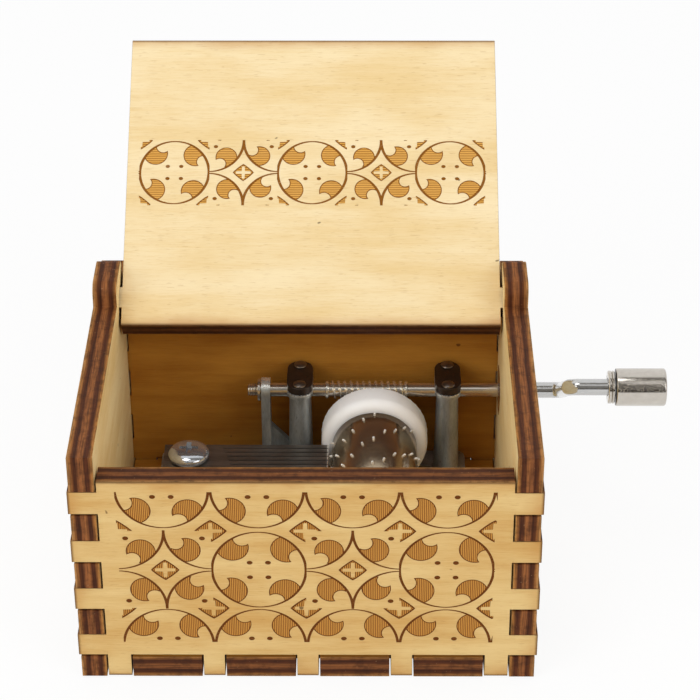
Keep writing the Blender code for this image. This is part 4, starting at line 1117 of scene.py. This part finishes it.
# The panels and how the wood of each one looks
SIDE_WOOD = dict(
    start=(0, INNER_X), spans=(DEEP, (0, SIDE_TOP)), outer=PALE_LIT_SIDE_VENEER, inner=LIT_INNER_VENEER, char_and_shade=0.1
)
PANELS = {
    "front_panel": dict(
        name="front_plywood", axes=(X, Z, TO_FRONT), start=(0, INNER_Y),
        spans=(WIDE, (0, FRONT_TOP)), outer=FACE_VENEER, inner=LIT_INNER_VENEER,
        ornament=front_ornament, hatch=FRONT_HATCH, ink=FRONT_INK, char_and_shade=0.42, seed=1.0,
    ),
    "back_panel": dict(
        name="back_plywood", axes=(X, Z, Y), start=(0, INNER_Y),
        spans=(WIDE, (0, BACK_TOP)), outer=FACE_VENEER, inner=DARK_AND_SHADED_VENEER, seed=21.0,
    ),
    "left_side_panel": dict(name="left_plywood", axes=(Y, Z, TO_LEFT), seed=31.0, **SIDE_WOOD),
    "right_side_panel": dict(name="right_plywood", axes=(Y, Z, X), seed=41.0, **SIDE_WOOD),
    "bottom_panel": dict(
        name="bottom_plywood", axes=(X, Y, TO_BELOW), start=(0, -PLY),
        spans=(WIDE, DEEP), outer=FACE_VENEER, inner=DARK_AND_SHADED_VENEER, char_and_shade=0.35, seed=51.0,
    ),
    "lid": dict(
        name="lid_plywood", axes=(X, LID_OUT, LID_UP),
        start=(LID_PIVOT.dot(Vector(LID_OUT)), LID_PIVOT.dot(Vector(LID_UP)) - PLY / 2),
        spans=((-LID_HALF_WIDTH, LID_HALF_WIDTH), (-LID_TAIL, LID_REACH)),
        outer=LID_VENEER, inner=LID_VENEER, ornament=lid_ornament, hatch=LID_HATCH, ink=LID_INK,
        # The lid's darker cut edges also paint the shade on its downward edge strip
        toast=LID_TOAST_BORDER, char_and_shade=0.55, seed=61.0,
    ),
}


def dress_wood():
    """The five panels and the lid, as bevelled copies of their solids."""
    for node, look in PANELS.items():
        slot = "pale_plywood" if node == "lid" else "plywood"
        dress(node, wood(**look), PANEL_EDGE, angle=40)


# Where some metals turn brighter or darker
POST_TOP = box_mm("bedplate")[1].z
COMB_RIGHT = box_mm("comb")[1].x

# The metals and how each of them varies
METALS = {
    "cast_zinc": dict(
        colour=screen(182, 187, 186), rough=0.34, spread=0.18, grain=0.25, metallic=0.75,
        size=(1.6, 1.6, 0.35), bump=0.04, worn=screen(104, 106, 104),
        # Painted highlight round the posts' tops, which are also a little smoother there
        highlight_and_shade_band=(2, POST_TOP - 0.95, POST_TOP - 0.6, screen(238, 238, 232)),
    ),
    # Blackened caps; the same dark steel is also painted shade on the knob's seam
    "blackened_steel_and_seam_shade": dict(
        colour=screen(76, 66, 60), rough=0.26, spread=0.15, grain=0.25, metallic=0.8, bump=0.01
    ),
    "rivet_steel": dict(
        colour=screen(136, 126, 118), rough=0.28, spread=0.12, grain=0.2, metallic=0.95, bump=0.01
    ),
    "bright_steel": dict(
        colour=screen(222, 215, 204), rough=0.14, spread=0.06, grain=0.12, metallic=0.92,
        size=(0.5, 2, 2), bump=0.006,
    ),
    # The worm's thread and small collars: the shaft's own steel, written paler as painted highlight
    "highlighted_worm_crest": dict(
        colour=screen(252, 248, 238), rough=0.2, spread=0.05, grain=0.08, metallic=0.9, bump=0.004
    ),
    "chrome_plate": dict(
        colour=screen(204, 208, 214), rough=0.1, spread=0.05, grain=0.08, metallic=0.86,
        size=(1.6, 1.6, 1.6), bump=0.008,
    ),
    "scuffed_chrome": dict(
        colour=screen(202, 196, 187), rough=0.06, spread=0.05, grain=0.06, size=(3.2, 3.2, 3.2),
        bump=0.01, pits=0.014,
    ),
    "wire_chrome": dict(
        colour=screen(196, 196, 195), rough=0.09, spread=0.04, grain=0.08, metallic=0.86,
        size=(0.6, 2, 2), bump=0.008,
    ),
    "comb_steel": dict(
        colour=screen(122, 116, 110), rough=0.3, spread=0.15, grain=0.2, metallic=0.8,
        size=(0.3, 2, 2), bump=0.008,
        highlight_and_shade_band=(0, COMB_RIGHT - 0.3, COMB_RIGHT - 0.12, screen(220, 218, 212)),
    ),
    "drum_steel": dict(
        colour=screen(188, 170, 144), rough=0.14, spread=0.08, grain=0.12, metallic=0.92,
        size=(1.4, 1.4, 1.4), bump=0.012,
        # Painted shade on the drum beside the gear, where the two meet
        highlight_and_shade_band=(1, GEAR_FRONT - 3.0, GEAR_FRONT - 0.9, screen(92, 76, 58)),
    ),
    "pin_steel": dict(
        colour=screen(252, 249, 242), rough=0.2, spread=0.05, grain=0.1, metallic=0.5
    ),
}


def dress_movement():
    """The movement, crank and knob, each piece in its own metal or in nylon."""
    metals = {name: metal(name, **look) for name, look in METALS.items()}
    bright = metals["bright_steel"]
    dark = metals["blackened_steel_and_seam_shade"]
    scuffed = metals["scuffed_chrome"]
    white = nylon("milky_nylon")

    dress("bedplate", metals["cast_zinc"], 0.14)
    for side in ("left", "right"):
        dress(f"bearing_cap_{side}", dark, 0.2, segments=3)
        for place in ("front", "rear"):
            dress(f"cap_rivet_{side}_{place}", metals["rivet_steel"])
    dress("comb", metals["comb_steel"], 0.04)
    for place in ("rear", "front"):
        comb_screw(f"comb_screw_{place}", metals["chrome_plate"])
    for place in ("left", "middle", "right"):
        dress(f"base_screw_{place}", bright, 0.05)
    dress("retaining_ring", bright, 0.06)
    dress("drum_axle", bright, 0.08)
    dress("drum_end_disc", white, 0.1)
    worm_shaft(bright, metals["highlighted_worm_crest"])
    crank_wire(metals["wire_chrome"])
    # The dark steel on the knob's and collar's facing ends is painted shade in the seam between
    # them
    knob_collar(scuffed, dark)
    knob(scuffed, dark)
    crown_gear(white)
    drum(metals["drum_steel"], metals["pin_steel"])


# The studio, in metres. Bright metal mirrors a white backdrop behind and a grey room in front
WHITE = (1, 1, 1, 1)
FLOOR_GREY = (0.85, 0.85, 0.85, 1)
FLOOR_SIZE = 6
FLOOR_DROP = 0.0002
FLOOR_GLOW = 0.88
SEEN_RAYS = ("Is Camera Ray", "Is Glossy Ray", "Is Transmission Ray")
AMBIENT = 0.74
ROOM_LOW = (0.05, 0.045, 0.04, 1)
ROOM_HIGH = (0.19, 0.18, 0.165, 1)
ROOM_RISE = (0.1, 0.55)
ROOM_EDGE = (0.0, 0.2)
LAMP_AIM = (0, 0, 0.02)
# Each lamp's name, place, width, height and power in watts
LAMPS = [
    ("key_light", (-0.4, -0.42, 0.36), 0.36, 0.46, 1.2),
    ("fill_light", (0.46, -0.42, 0.36), 0.36, 0.46, 1.1),
    ("top_light", (-0.12, -0.1, 0.6), 0.24, 0.24, 0.55),
    ("front_light", (0.12, -0.28, 0.56), 0.3, 0.22, 0.12),
]


def mix_shaders(tree, share, first, second):
    node = tree.nodes.new("ShaderNodeMixShader")
    feed(tree, node.inputs[0], share)
    feed(tree, node.inputs[1], first.outputs[0])
    feed(tree, node.inputs[2], second.outputs[0])
    return node


def light_path_mix(tree, rays, plain, seen, output, share=1.0):
    """Shows one shader to the rays named and another to all others."""
    path = tree.nodes.new("ShaderNodeLightPath")
    total = None
    for ray in rays:
        value = Num(tree, path.outputs[ray])
        total = value if total is None else total.high(value)
    blend = mix_shaders(tree, total * share, plain, seen)
    feed(tree, output.inputs["Surface"], blend.outputs[0])


def studio_floor():
    """A white floor that keeps the object's shadow."""
    material = bpy.data.materials.new("studio_floor")
    material.use_nodes = True
    tree = material.node_tree
    tree.nodes.clear()
    diffuse = tree.nodes.new("ShaderNodeBsdfDiffuse")
    diffuse.inputs["Color"].default_value = FLOOR_GREY
    glow = tree.nodes.new("ShaderNodeEmission")
    glow.inputs["Strength"].default_value = 1.0
    output = tree.nodes.new("ShaderNodeOutputMaterial")
    light_path_mix(tree, SEEN_RAYS, diffuse, glow, output, share=FLOOR_GLOW)
    shape = bmesh.new()
    bmesh.ops.create_grid(shape, x_segments=1, y_segments=1, size=FLOOR_SIZE / 2)
    mesh = mesh_of("studio_floor", shape)
    mesh.materials.append(material)
    floor = add_object("studio_floor", mesh)
    floor.location.z = -FLOOR_DROP


def background(tree, strength, colour=WHITE):
    node = tree.nodes.new("ShaderNodeBackground")
    node.inputs["Strength"].default_value = strength
    node.inputs["Color"].default_value = colour
    return node


def studio_world():
    """Even white light, and what bright metal mirrors: darker low in front, lighter higher up."""
    world = bpy.data.worlds.new("studio")
    bpy.context.scene.world = world
    world.use_nodes = True
    tree = world.node_tree
    tree.nodes.clear()
    plain = background(tree, AMBIENT)
    white = background(tree, 1.0)
    room = background(tree, 1.0)
    coords = tree.nodes.new("ShaderNodeTexCoord")
    split = tree.nodes.new("ShaderNodeSeparateXYZ")
    feed(tree, split.inputs[0], coords.outputs["Generated"])
    upward = Num(tree, split.outputs["Z"]).step(*ROOM_RISE)
    feed(tree, room.inputs["Color"], mix_colours(tree, upward, ROOM_LOW, ROOM_HIGH))
    behind = Num(tree, split.outputs["Y"]).step(*ROOM_EDGE)
    mirrored = mix_shaders(tree, behind, room, white)
    path = tree.nodes.new("ShaderNodeLightPath")
    glossy = mix_shaders(tree, path.outputs["Is Glossy Ray"], plain, mirrored)
    output = tree.nodes.new("ShaderNodeOutputWorld")
    light_path_mix(tree, ("Is Camera Ray", "Is Transmission Ray"), glossy, white, output)


def soft_box(name, place, width, height, power):
    """An area lamp aimed at the case."""
    data = bpy.data.lights.new(name, "AREA")
    data.shape = "RECTANGLE"
    data.size = width
    data.size_y = height
    data.energy = power
    lamp = add_object(name, data)
    lamp.location = place
    aim = Vector(LAMP_AIM) - Vector(place)
    lamp.rotation_euler = aim.to_track_quat("-Z", "Y").to_euler()


# The camera, fitted to the photograph's view. Its place is in millimetres
PITCH_DOWN = radians(32.34)
YAW = radians(-0.373)
ROLL = radians(-0.135)
CAMERA_PLACE = (7.70, -288.55, 220.52)
FOCAL_PIXELS = 2418.49
FRAME_PIXELS = 700
SENSOR = 36
NEAREST = 0.01
FARTHEST = 20


def photo_camera():
    """The camera at the photograph's place and angle."""
    forward = Vector((sin(YAW) * cos(PITCH_DOWN), cos(YAW) * cos(PITCH_DOWN), -sin(PITCH_DOWN)))
    level = Vector((cos(YAW), -sin(YAW), 0))
    above = level.cross(forward)
    right = level * cos(ROLL) + above * sin(ROLL)
    upward = above * cos(ROLL) - level * sin(ROLL)
    stand = Matrix((right, upward, -forward)).transposed().to_4x4()
    stand.translation = Vector(CAMERA_PLACE) * MM
    data = bpy.data.cameras.new("camera")
    data.sensor_width = SENSOR
    data.lens = SENSOR * FOCAL_PIXELS / FRAME_PIXELS
    data.clip_start = NEAREST
    data.clip_end = FARTHEST
    camera = add_object("camera", data)
    camera.matrix_world = stand
    bpy.context.scene.camera = camera


def build_scene():
    dress_wood()
    dress_movement()
    studio_floor()
    studio_world()
    for lamp in LAMPS:
        soft_box(*lamp)
    photo_camera()
    bpy.context.scene.view_settings.view_transform = "Standard"
    bpy.context.view_layer.update()


build_scene()
